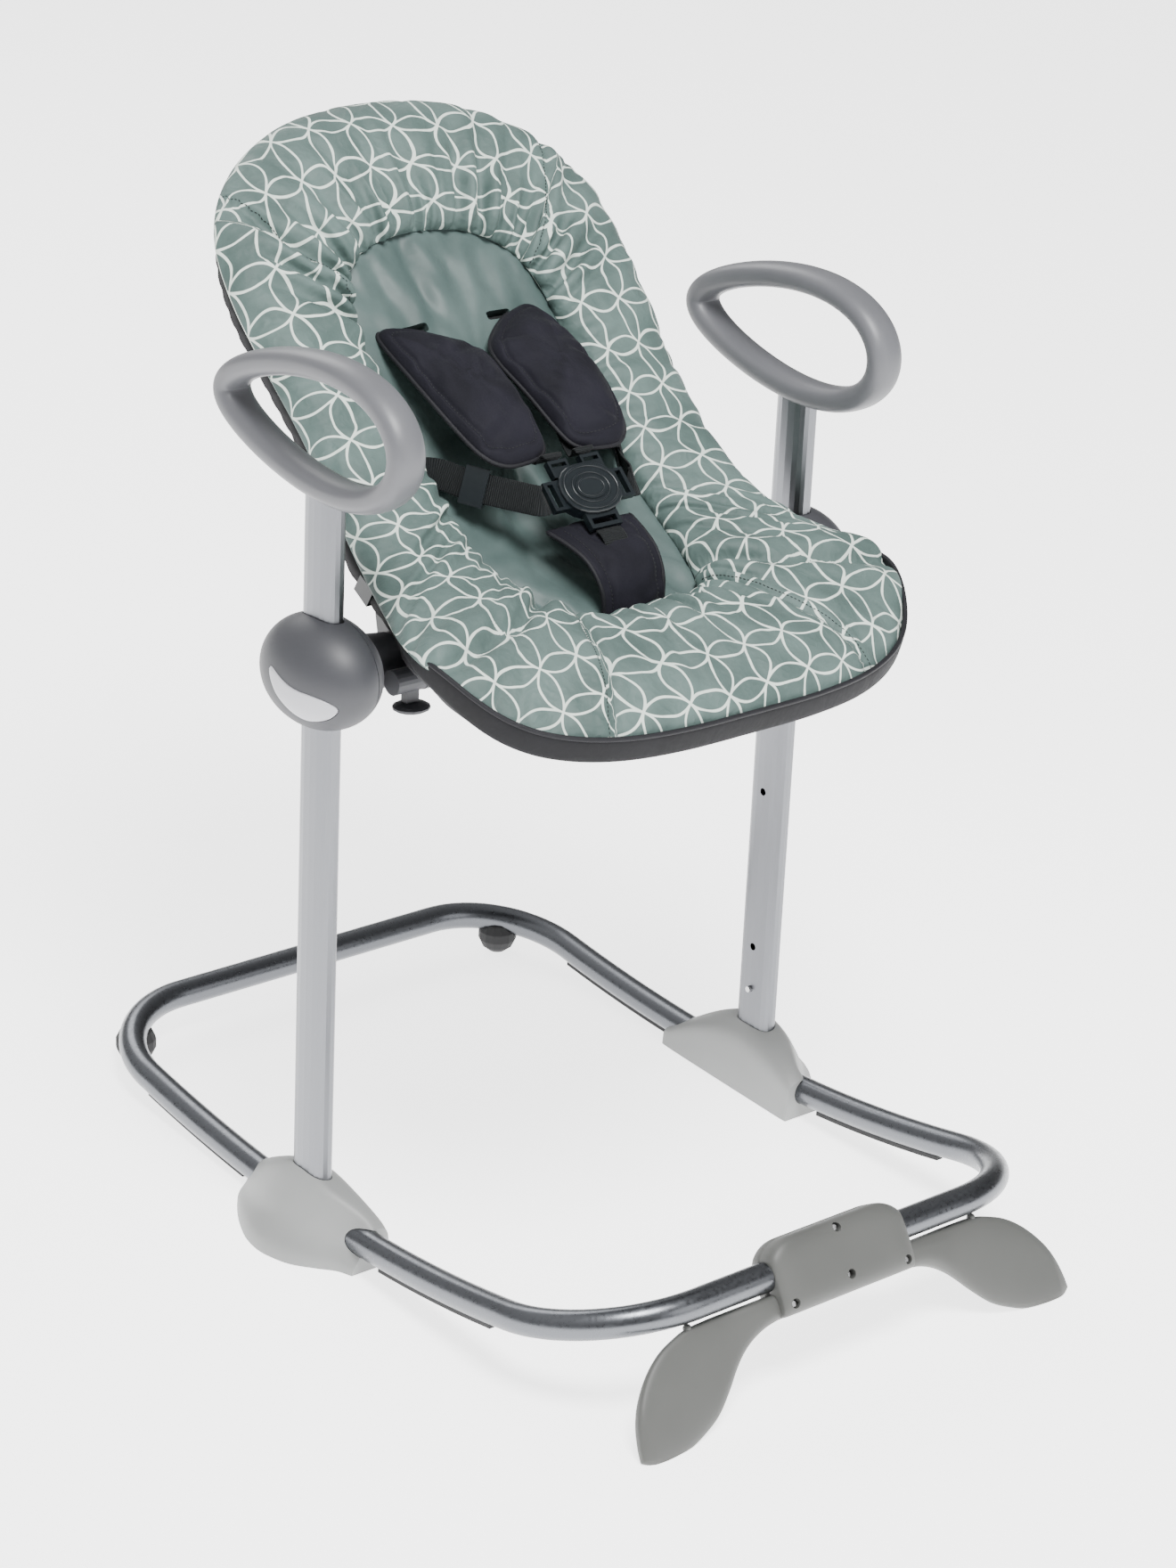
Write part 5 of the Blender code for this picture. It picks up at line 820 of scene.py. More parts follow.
def make_rings():
    """Egg-shaped loop in the post's plane: its half height shrinks with the cosine of the turn, and an
    oval section is carried along it."""
    t = np.arange(168) * 2 * np.pi / 168
    height = RING_HALF_HEIGHT * (1 - RING_EGG * np.cos(t))
    for side, word in SIDES:
        path = np.column_stack([np.full_like(t, side * POST_X), RING_CENTRE[0] + RING_HALF_LENGTH * np.cos(t),
                                RING_CENTRE[1] + height * np.sin(t)])
        grid = sweep(path, oval(*RING_SECTION, 2.4, 40), across=(1, 0, 0), closed=True)
        ring = surface(f"{word}_loop_handle", stance(grid), loop=True)
        finish_piece(ring, "base_frame", RING_GREY, "ring_plastic", f"{word}_ring_handle")


# Hubs

def hub_profile(x, grow=0.0):
    """Ellipse half sizes of the hub at a distance from the middle, from the ellipsoid's equation."""
    share = np.sqrt(np.maximum(0, 1 - ((x - HUB_CENTRE[0]) / (HUB_HALF[0] + grow)) ** 2))
    return (HUB_HALF[1] + grow) * share, (HUB_HALF[2] + grow) * share


def add_lip(grid, first, x):
    """A hub's grid with one more ring at its open edge, drawn in a little, at a distance x."""
    lip = grid[0 if first else -1].copy()
    lip[:, 1:] = HUB_CENTRE[1:] + (lip[:, 1:] - HUB_CENTRE[1:]) * 0.985
    lip[:, 0] = x
    return np.vstack([lip[None], grid] if first else [grid, lip[None]])


def hub_grid(side, xs, blend_boss=False):
    """Rings of the egg-shaped hub at distances from the middle. Nearer the seat the larger of the egg and
    the tapered boss is taken, eased by a soft maximum."""
    angle = np.arange(72) * 2 * np.pi / 72
    c, s = np.cos(angle), np.sin(angle)
    rows = []
    for x in xs:
        deep, tall = hub_profile(x)
        egg_y, egg_z = HUB_CENTRE[1] + deep * c, HUB_CENTRE[2] + tall * s
        if blend_boss:
            radius = np.interp(x, BOSS_X[::-1], BOSS_RADII[::-1])
            radius *= 1.0 if x > BOSS_X[1] + 0.0025 else 0.94
            from_pivot = np.hypot(egg_y - PIVOT_YZ[0], egg_z - PIVOT_YZ[1])
            direction = np.arctan2(egg_z - PIVOT_YZ[1], egg_y - PIVOT_YZ[0]) if deep > 0.002 else angle
            size = np.log(np.exp(from_pivot * 300) + np.exp(radius * 300)) / 300 if deep > 0.002 else radius
            egg_y, egg_z = PIVOT_YZ[0] + size * np.cos(direction), PIVOT_YZ[1] + size * np.sin(direction)
        rows.append(np.column_stack([np.full(72, side * x), egg_y, egg_z]))
    return np.array(rows)


def make_hubs():
    """Outer egg shell with the button's opening, inner shell with the boss, and the pale lens, whose rings
    lie on an egg that stands a little prouder and then turn in at its edge."""
    reach = HUB_CENTRE[0] + HUB_HALF[0]
    for side, word in SIDES:
        bend = np.sin(np.linspace(0, np.pi / 2, 34))
        xs = HUB_SEAM_X + 0.0006 + (reach - HUB_SEAM_X - 0.0007) * bend
        outer = add_lip(hub_grid(side, xs), True, side * (HUB_SEAM_X + 0.0002))
        outer = surface(f"{word}_hub_shell", stance(outer))
        line = smooth_curve(BUTTON_OUTLINE, 64, closed=True)
        middle = line.mean(axis=0)
        grown = middle + (line - middle) * (1 + BORE_GAP / np.linalg.norm(line - middle, axis=1))[:, None]
        low_x, high_x = sorted((side * (POST_X + 0.014), side * (POST_X + 0.08)))
        cut_away(outer, post_bore(side, HUB_BORE, BORE_GAP), prism(grown, low_x, high_x))
        finish_piece(outer, "carriage", HUB_GREY, "hub_plastic", f"{word}_hub_outer_shell")

        xs = np.concatenate([BOSS_X[1] + np.array([0.0, 0.0006, 0.0022]),
                             np.linspace(BOSS_X[1] + 0.004, HUB_SEAM_X - 0.0006, 40)])
        inner = add_lip(hub_grid(side, xs, blend_boss=True), False, side * (HUB_SEAM_X - 0.0002))
        inner = surface(f"{word}_hub_boss", stance(inner))
        lever = oval(LEVER_HOLE_RADIUS, LEVER_HOLE_RADIUS, 2.0, 32) + LEVER_PLACE
        low_x, high_x = sorted((side * LEVER_HOLE_X[0], side * LEVER_HOLE_X[1]))
        cut_away(inner, post_bore(side, HUB_BORE, BORE_GAP), prism(lever, low_x, high_x))
        finish_piece(inner, "carriage", HUB_GREY, "hub_plastic", f"{word}_hub_inner_shell")

        rows = []
        for share, sink in ((0.03, 0), (0.3, 0), (0.55, 0), (0.75, 0), (0.88, 0), (0.95, 0.0001),
                            (0.985, 0.0005), (1.0, 0.0013), (1.0, 0.003), (0.9, 0.004), (0.4, 0.004)):
            ring = middle + (line - middle) * share
            around = ((ring[:, 0] - HUB_CENTRE[1]) / (HUB_HALF[1] + BUTTON_PROUD)) ** 2
            around += ((ring[:, 1] - HUB_CENTRE[2]) / (HUB_HALF[2] + BUTTON_PROUD)) ** 2
            x = HUB_CENTRE[0] + (HUB_HALF[0] + BUTTON_PROUD) * np.sqrt(np.maximum(0, 1 - around)) - sink
            rows.append(np.column_stack([side * x, ring]))
        button = surface(f"{word}_hub_button", stance(np.array(rows)))
        finish_piece(button, f"{word}_latch", BUTTON_GREY, "button_plastic", f"{word}_release_button")


# Front foot

def foot_place(points):
    """Foot axes to upright space: X to the left, Y down the blades, Z out of the front face."""
    c, s = math.cos(FOOT_LEAN), math.sin(FOOT_LEAN)
    x, down, out = points[..., 0], points[..., 1], points[..., 2]
    y = -BASE_FRONT - s * down - c * out
    z = float(rail_height(np.float64(-BASE_FRONT))) - c * down + s * out
    placed = stance(np.stack([-x, y, z], axis=-1))
    placed[..., 2] = np.maximum(placed[..., 2], FLOOR_GAP)
    return placed


def block_grid(sign):
    """Half of the clamp block: superellipse sections whose corners draw in towards both ends."""
    shares = np.concatenate([[-1.0, -0.998, -0.992], np.linspace(-0.98, 0.98, 60), [0.992, 0.998, 1.0]])
    section = oval(1.0, 1.0, 4.5, 96)
    section = section[section[:, 1] > -1e-9]
    section = np.vstack([section, [[0.5, 0.0], [0.0, 0.0], [-0.5, 0.0]][::-1]])
    rows = []
    for share in shares:
        corner = max(0.0, abs(share) - 0.6) / 0.4
        end = math.sqrt(max(0.0, 1 - max(0.0, (abs(share) - 0.96) / 0.0401) ** 2))
        top = -BLOCK_TOP + 0.012 * corner ** 2.5
        middle, half = (BLOCK_FOOT + top) / 2, (BLOCK_FOOT - top) / 2 * (0.93 + 0.07 * end)
        depth = (BLOCK_HALF_DEPTH - 0.0035 * corner ** 4) * (0.80 + 0.20 * end)
        rows.append(np.column_stack([np.full(len(section), share * BLOCK_HALF_WIDTH),
                                     middle + half * section[:, 0],
                                     sign * (0.0002 + depth * section[:, 1])]))
    return np.array(rows)


def blade_grid(side):
    """Leaf blade: oval sections between its upper and lower edge curves, thinned to a round tip."""
    upper, lower = smooth_curve(FOOT_UPPER_EDGE, 160), smooth_curve(FOOT_LOWER_EDGE, 160)
    rows = []
    ends = BLADE_TIP - (BLADE_TIP - 0.22) * np.linspace(1, 0, 22)[1:] ** 2
    xs = np.concatenate([np.linspace(BLADE_ROOT, 0.22, 60), ends])
    for x in xs:
        share = min(1.0, max(0.0, (x - 0.080) / 0.05))
        share = share * share * (3 - 2 * share)
        front = BLADE_FRONT + 0.005 * (1 - share)
        high = np.interp(x, upper[:, 0], upper[:, 1])
        low = np.interp(x, lower[:, 0], lower[:, 1])
        thin = math.sqrt(max(0.03, min(1.0, (BLADE_TIP + 0.0008 - x) / 0.012)))
        middle, half = (BLADE_BACK + front) / 2, (front - BLADE_BACK) / 2 * thin
        section = oval((low - high) / 2, half, 2.8, 44)
        rows.append(np.column_stack([np.full(44, side * x), (high + low) / 2 + section[:, 0],
                                     middle + section[:, 1]]))
    return np.array(rows)


def screw_recess(x, down):
    """A round bar that stands out of the block's face, to cut a screw's recess."""
    ring = oval(SCREW_RECESS_RADIUS, SCREW_RECESS_RADIUS, 2.0, 24) + (x, down)
    rows = [np.column_stack([ring, np.full(24, z)]) for z in (SCREW_RECESS_FLOOR, 0.03)]
    return surface("recess", foot_place(np.array(rows)))


def make_front_foot():
    """Clamp block and cap, two leaf blades, and a round nub on each from rings along a half circle."""
    block = surface("foot_block", foot_place(block_grid(1)))
    cut_away(block, *[screw_recess(x, down) for x, down in FOOT_SCREWS])
    finish_piece(block, "front_foot_group", FOOT_GREY, "foot_plastic", "front_foot")
    cap = surface("foot_block_cap", foot_place(block_grid(-1)))
    finish_piece(cap, "front_foot_group", FOOT_GREY, "foot_plastic", "front_foot_cap")
    angle = np.linspace(0.03, np.pi - 0.03, 14)
    for side, word in ((1, "left"), (-1, "right")):
        blade = surface(f"{word}_foot_blade", foot_place(blade_grid(side)))
        finish_piece(blade, "front_foot_group", FOOT_GREY, "foot_plastic")
        ring = oval(1.0, 1.0, 2.0, 20)
        x, down, out = NUB_PLACE
        rows = [np.column_stack([side * x + NUB_RADIUS * math.sin(a) * ring[:, 0],
                                 np.full(20, down - NUB_RADIUS * math.cos(a)),
                                 out + NUB_RADIUS * math.sin(a) * ring[:, 1]]) for a in angle]
        nub = surface(f"{word}_foot_nub", foot_place(np.array(rows)))
        finish_piece(nub, "front_foot_group", FOOT_GREY, "foot_plastic")


# Seat

def border_grid(stations, sides, fullness):
    """Ring cushion: each station joins the opening to the seat's edge by a flattened arch over a shallow
    underside; the crest is higher in front and lower at the head."""
    edge, rim = full_outline(BORDER_OUTLINE, stations), full_outline(OPENING_OUTLINE, stations)
    angle = np.arange(sides) * 2 * np.pi / sides
    c, sine = np.cos(angle), np.sin(angle)
    u = 0.5 + 0.5 * np.sign(c) * np.abs(c) ** 0.62
    up = np.abs(sine) ** 0.95
    frontness, head = bell(edge[:, 1], 0.11), past(edge[:, 1], 0.50, 0.03)
    crest = BORDER_CREST + (FRONT_CREST - BORDER_CREST) * frontness + (HEAD_CREST - BORDER_CREST) * head
    flat = rim[:, None] + (edge - rim)[:, None] * u[None, :, None]
    over = crest[:, None] * fullness * up[None]
    under = -(BORDER_BOTTOM - BORDER_EDGE) * up[None]
    height = -BORDER_EDGE + np.where(sine[None] > 0, over, under)
    return seat_points(flat[..., 0], flat[..., 1], height), edge, rim, u, sine, head


def border_pattern(grid, edge, rim):
    """Flat-pattern place of each point: the loop's middle line plus the length over the cushion from its
    crest. Panels between the seams are shifted, so that the lines break there as in sewn cloth."""
    rows, cols = grid.shape[:2]
    lengths = np.linalg.norm(np.roll(grid, -1, axis=1) - grid, axis=2)
    run = np.concatenate([np.zeros((rows, 1)), np.cumsum(lengths, axis=1)], axis=1)
    run -= run[:, cols // 4:cols // 4 + 1]
    for _ in range(3):
        run = (np.roll(run, 7, axis=0) + run + np.roll(run, -7, axis=0)) / 3
    outward = unit(edge - rim)
    middle = 0.55 * edge + 0.45 * rim
    flat = middle[:, None] - outward[:, None] * run[..., None]
    share = np.arange(rows) / rows
    panel = np.searchsorted(sorted((*HEAD_SEAMS, *FRONT_SEAMS)), share)
    shift = np.array([(0.0, 0.0), (0.021, 0.013), (0.009, 0.027), (-0.021, 0.013), (0.0, 0.0)])[panel]
    flat = flat + shift[:, None]
    return np.concatenate([flat, flat[:1]], axis=0)


def creases(share, u):
    """Depth of the sewn-in creases at each share of the loop and each place u across it: bells across that
    fade along. The first ones run out from the opening, closest at the head, then a deep fold at each front
    corner, and fine ones in from the edge."""
    rng = np.random.default_rng(11)
    depth = np.zeros((share.shape[0], u.shape[0]))
    at_head = 30
    for number in range(at_head + 44):
        head = number < at_head
        at = 0.385 + 0.235 * (number + rng.uniform(0.2, 0.8)) / at_head if head else rng.uniform(0, 1)
        reach, strength = rng.uniform(0.35, 0.95), rng.uniform(0.4, 1.0) * (0.0068 if head else 0.0036)
        lean, width = rng.uniform(-0.012, 0.012), rng.uniform(0.0042, 0.0080)
        gap = ((share - at - lean * u[None] + 0.5) % 1.0 - 0.5) * BORDER_LOOP
        depth += strength * crease_profile(gap, width) * np.maximum(0, 1 - u[None] / reach) ** 0.7
    for at, lean in CORNER_FOLDS:
        gap = (share - at - lean * u[None]) * BORDER_LOOP
        depth += 0.0085 * bell(gap, 0.009) - 0.0035 * bell(np.abs(gap) - 0.026, 0.014)
    for _ in range(46):
        at, reach, strength = rng.uniform(0.06, 0.94), rng.uniform(0.25, 0.6), rng.uniform(0.0010, 0.0026)
        gap = (share - at - rng.uniform(-0.01, 0.01) * u[None]) * BORDER_LOOP
        depth += strength * bell(gap, 0.0050) * np.maximum(0, 1 - (1 - u[None]) / reach) ** 0.7
    return depth


def make_border():
    """Ring cushion rippled round its opening by sines, blown up and subdivided, then grooved along its
    seams by bells and creased."""
    grid, edge, rim, u, sine, head = border_grid(BORDER_STATIONS, BORDER_SIDES, 0.86)
    over = np.maximum(sine, 0)[None]
    free = (sine > 0.22) | ((sine > 0.05) & (u < 0.5))
    held = np.broadcast_to(np.where(free, 0.0, 1.0)[None], grid.shape[:2])
    inward = (1 - u)[None]
    spare = 0.28 + 0.72 * head[:, None] * inward ** 0.6 + 0.25 * inward * (1 - head[:, None])
    normals = grid_normals(grid, True)
    out = normals * np.sign(np.sum(normals * (grid - grid.mean(axis=1, keepdims=True))))
    t = np.arange(BORDER_STATIONS)[:, None] * 2 * np.pi / BORDER_STATIONS
    gathers = np.sin(46 * t + 1.7 * np.sin(5 * t) + 1.2 * np.sin(11 * t + 1))
    ripple = gathers * (0.0008 + 0.0042 * head[:, None] * inward + 0.0012 * inward) * over
    ripple = ripple + 0.0009 * noise(grid.shape[:2], (60, 5), 3) * over
    grid = inflate(grid + out * ripple[..., None], held, spare, 0.34, 0.011, pressure=3.0, loop=True)
    grid = refine(grid, True)
    _, edge, rim, u, sine, head = border_grid(2 * BORDER_STATIONS, 2 * BORDER_SIDES, 1.0)
    normals = grid_normals(grid, True)
    centre = grid.mean(axis=1, keepdims=True)
    out = normals * np.sign(np.sum(normals * (grid - centre), axis=(0, 1, 2)))
    share = np.arange(2 * BORDER_STATIONS)[:, None] / (2 * BORDER_STATIONS)
    groove = np.zeros(grid.shape[:2])
    seams = tuple(zip((*HEAD_SEAMS, *FRONT_SEAMS), (SEAM_LEAN, -SEAM_LEAN, 0.0, 0.0)))
    for seam, lean in seams:
        gap = (share - seam - lean * (u[None] - 0.5)) * BORDER_LOOP
        pucker = 1 + 0.35 * np.sin(np.arange(2 * BORDER_SIDES) * 1.9)[None]
        groove += 0.0032 * bell(gap, 0.0045) * pucker - 0.0012 * bell(np.abs(gap) - 0.011, 0.006)
    pattern = border_pattern(grid, edge, rim)
    groove += creases(share, u) + wrinkles(pattern[:-1, :-1], 150, (0.010, 0.026), (0.0045, 0.007), 0.0014,
                                           (0.0, math.pi), 21)
    grid = grid - out * (groove * np.maximum(sine, 0)[None] ** 0.3)[..., None]
    top = np.nonzero(sine > 0.20)[0]
    for number, (seam, lean) in enumerate(seams):
        row = np.rint((seam + lean * (u[top] - 0.5)) * len(grid)).astype(int) + (2 if seam < 0.5 else -2)
        stitches(f"border_stitches_{number + 1}", grid[row, top], out[row, top])
    piece = surface("padded_print_border", grid, loop=True, flat=pattern)
    finish_piece(piece, "seat", PRINTED, "sage_print_cloth", "padded_border")


def dish_grid(outline, count, shares, top, bottom, inset=0.0):
    """Rings of an outline scaled to its middle: from the middle out over the bottom, then back over the
    top. Heights depend on the distance from the edge."""
    line = full_outline(outline, count, inset)
    dense = full_outline(outline, 500, inset)
    middle = np.array([0.0, (line[:, 1].min() + line[:, 1].max()) / 2])
    rings = middle + (line - middle)[None] * np.asarray(shares)[:, None, None]
    x, s = rings[..., 0], rings[..., 1]
    depth = edge_distance(x, s, dense)
    under = seat_points(x, s, bottom(depth, x, s))
    over = seat_points(x, s, top(depth, x, s))
    return np.concatenate([under[::-1], over]), np.concatenate([rings[::-1], rings])


def ring_uv(rings):
    """Flat-pattern places of rings, with the first column repeated at the end."""
    return np.concatenate([rings, rings[:, :1]], axis=1)


def make_insert():
    """Flat pad hollowed in the lap by a bell, with folds as sines: radial at the head and long in the lap.
    It is blown up, creased, and slotted for the shoulder straps."""
    shares = 1 - np.concatenate([[0], np.cumsum(np.linspace(0.6, 1.5, 26))]) / 28.5

    def top(depth, x, s):
        hollow = 0.006 * bell(s - 0.27, 0.11) * np.minimum(1.0, depth / 0.055)
        return INSERT_TOP - hollow - 0.0010 * np.maximum(0.0, 1 - depth / 0.012) ** 2

    def bottom(depth, x, s):
        return INSERT_BOTTOM + 0.019 * np.maximum(0.0, 1 - depth / 0.014) ** 2

    grid, rings = dish_grid(OPENING_OUTLINE, 176, shares, top, bottom, inset=-0.006)
    rows = len(shares)
    x, s = rings[..., 0], rings[..., 1]
    upper = (np.arange(2 * rows) >= rows)[:, None]
    depth = 1 - np.concatenate([shares[::-1], shares])[:, None]
    angle = np.arctan2(s - 0.42, x)
    head, lap = past(s, 0.47, 0.03), past(-s, -0.33, 0.03)
    radial = np.sin(angle * 17 + 1.3 * np.sin(angle * 5)) * np.exp(-depth / 0.30)
    long_folds = np.sin(x * 2 * np.pi / 0.046 + 0.9 * np.sin(s * 31) + 0.6)
    long_folds *= 0.5 + 0.5 * np.sin(s * 23 + x * 17)
    rise = upper * np.minimum(1, depth / 0.05) * (0.0034 * radial * head + 0.0038 * long_folds * lap
                                                   + 0.0016 * long_folds * (1 - head) * (1 - lap))
    grid = grid + seat_normals(s) * rise[..., None]
    held = np.where(upper & (depth > 0.03), 0.0, 1.0) * np.ones(grid.shape[:2])
    spare = np.clip(0.35 + 0.65 * head, 0, 1) * np.ones(grid.shape[:2])
    grid = inflate(grid, held, spare, 0.08, 0.005, pressure=1.5)
    grid = refine(grid)
    fine_rings = refine(np.concatenate([rings, 0 * rings[..., :1]], axis=-1))[..., :2]
    fine_depth = 1 - refine(np.repeat(1 - depth, 176, axis=1)[..., None])[..., 0]
    fine_upper = (np.arange(len(grid)) >= len(grid) // 2)[:, None] * np.minimum(1, fine_depth / 0.08)
    folds = wrinkles(fine_rings, 14, (0.030, 0.055), (0.0055, 0.009), 0.0050, (1.35, 1.95), 5,
                     (-0.075, 0.19), (0.075, 0.30))
    folds += wrinkles(fine_rings, 12, (0.030, 0.050), (0.006, 0.010), 0.0030, (1.40, 1.74), 8,
                      (-0.08, 0.49), (0.08, 0.56))
    folds += wrinkles(fine_rings, 30, (0.012, 0.028), (0.004, 0.007), 0.0012, (0.9, 2.2), 9)
    grid = grid - seat_normals(fine_rings[..., 1]) * (folds * fine_upper)[..., None]
    piece = surface("seat_insert_pad", grid, flat=ring_uv(fine_rings))
    slots = []
    for side in (-1, 1):
        box = oval(0.0125, 0.0042, 5.0, 24) + (side * SHOULDER_TOP[0], STRAP_SLOT_S)
        slot = [seat_points(box[:, 0], box[:, 1], np.full(24, h)) for h in (-0.024, 0.012)]
        slots.append(surface("slot", np.array(slot)))
    cut_away(piece, *slots)
    finish_piece(piece, "seat", SAGE, "sage_satin_cloth", "insert_pad")


def border_underside(depth):
    """Height of the border's underside at a distance from the seat's edge, between measured places."""
    share = np.interp(depth, (0.0, 0.0075, 0.029, 0.055), (0.0, 0.593, 0.921, 1.014))
    return -BORDER_EDGE - (BORDER_BOTTOM - BORDER_EDGE) * share


def make_cover():
    """Thin dish under the border and insert: its rim follows the border's underside and it falls to the
    frame tube's depth. A band and a piping are carried along the seat's edge, deeper in front."""
    seat_edge = full_outline(SEAT_OUTLINE, 500)

    def rim(x, s):
        return border_underside(edge_distance(x, s, seat_edge)) - 0.0006

    def top(depth, x, s):
        edge = rim(x, s)
        reach = np.interp(s, (0.15, 0.20), (COVER_REACH, 0.0060))
        return edge + (COVER_TOP - edge) * np.clip((depth - 0.0052) / (reach - 0.0052), 0, 1)

    def bottom(depth, x, s):
        front = np.interp(s, (0.15, 0.20), (1.0, 0.0))
        steep = np.interp(depth, (0.0, 0.004, 0.008, 0.014), (0.0, 0.55, 0.85, 1.0))
        fall = front * np.minimum(1.0, depth / COVER_REACH) + (1 - front) * steep
        start = rim(x, s) - 0.0085
        start = front * start + (1 - front) * np.minimum(start, COVER_BOTTOM + 0.010)
        sag = 0.0012 * np.sin(s * 61 + 3 * np.sin(x * 27)) * np.clip(depth / 0.03, 0, 1)
        return start + (COVER_BOTTOM - start) * fall + sag

    near_rim = [1, 0.998, 0.993, 0.986, 0.978, 0.968, 0.957, 0.945, 0.93, 0.915, 0.90, 0.88, 0.86]
    shares = np.concatenate([near_rim, np.linspace(0.83, 0.05, 20)])
    grid, rings = dish_grid(COVER_OUTLINE, 300, shares, top, bottom)
    piece = surface("seat_cover_cloth", grid, flat=ring_uv(rings))
    # The cover takes the darker copy of the charcoal cloth: painted shade.
    finish_piece(piece, "seat", SHADED_CHARCOAL, "charcoal_cloth", "seat_cover")
    line = full_outline(SEAT_OUTLINE, 420)
    front = np.exp(-(line[:, 1] / 0.17) ** 4)
    inward = full_outline(SEAT_OUTLINE, 420, 0.01) - line
    head = past(line[:, 1], 0.56, 0.02)
    line = line + inward * (0.85 - 0.92 * front + 0.75 * head)[:, None]
    middle = seat_points(*line.T, -0.0085 + 0.0015 * front)
    normal = unit(seat_points(*line.T, np.full(len(line), 0.01)) - seat_points(*line.T, np.zeros(len(line))))
    half_sizes = np.stack([0.0052 + 0.0058 * front, np.full(len(line), 0.0024)], axis=1)
    section = oval(1.0, 1.0, 2.6, 20)[None] * half_sizes[:, None]
    band = surface("seat_edge_band", sweep(middle, section, across=normal, closed=True), loop=True)
    # The edge band takes the darker copy of the charcoal cloth: painted shade.
    finish_piece(band, "seat", SHADED_CHARCOAL, "charcoal_cloth")
    path = middle + normal * (0.0036 + 0.0074 * front)[:, None]
    cord = oval(PIPING_RADIUS, PIPING_RADIUS, 2.0, 12)
    piping = surface("seat_piping", sweep(path, cord, closed=True), loop=True)
    finish_piece(piping, "seat", PIPING, "charcoal_cloth")


# Harness

def buckle_axes():
    """The buckle's own axes, with the posts upright: across, up its face, and out of its face."""
    up = np.array([0.0, math.cos(BUCKLE_SLOPE), math.sin(BUCKLE_SLOPE)])
    out = np.array([0.0, -math.sin(BUCKLE_SLOPE), math.cos(BUCKLE_SLOPE)])
    return np.array([1.0, 0.0, 0.0]), up, out


def pad_grid(outline, thick, under, shares):
    """Stuffed pad in its own flat axes: rings of the outline scaled to its middle, bottom then top, each
    face rising from the edge by one less the cube of the share, to a power."""
    middle = outline.mean(axis=0)
    rings = middle + (outline - middle)[None] * np.asarray(shares)[:, None, None]
    crown = (0.12 + 0.88 * (1 - np.asarray(shares) ** 3) ** 0.55)[:, None]
    top, low = (np.concatenate([rings, np.broadcast_to(height * crown, rings.shape[:2])[..., None]], axis=-1)
                for height in (thick - under, -under))
    return np.concatenate([low[::-1], top])


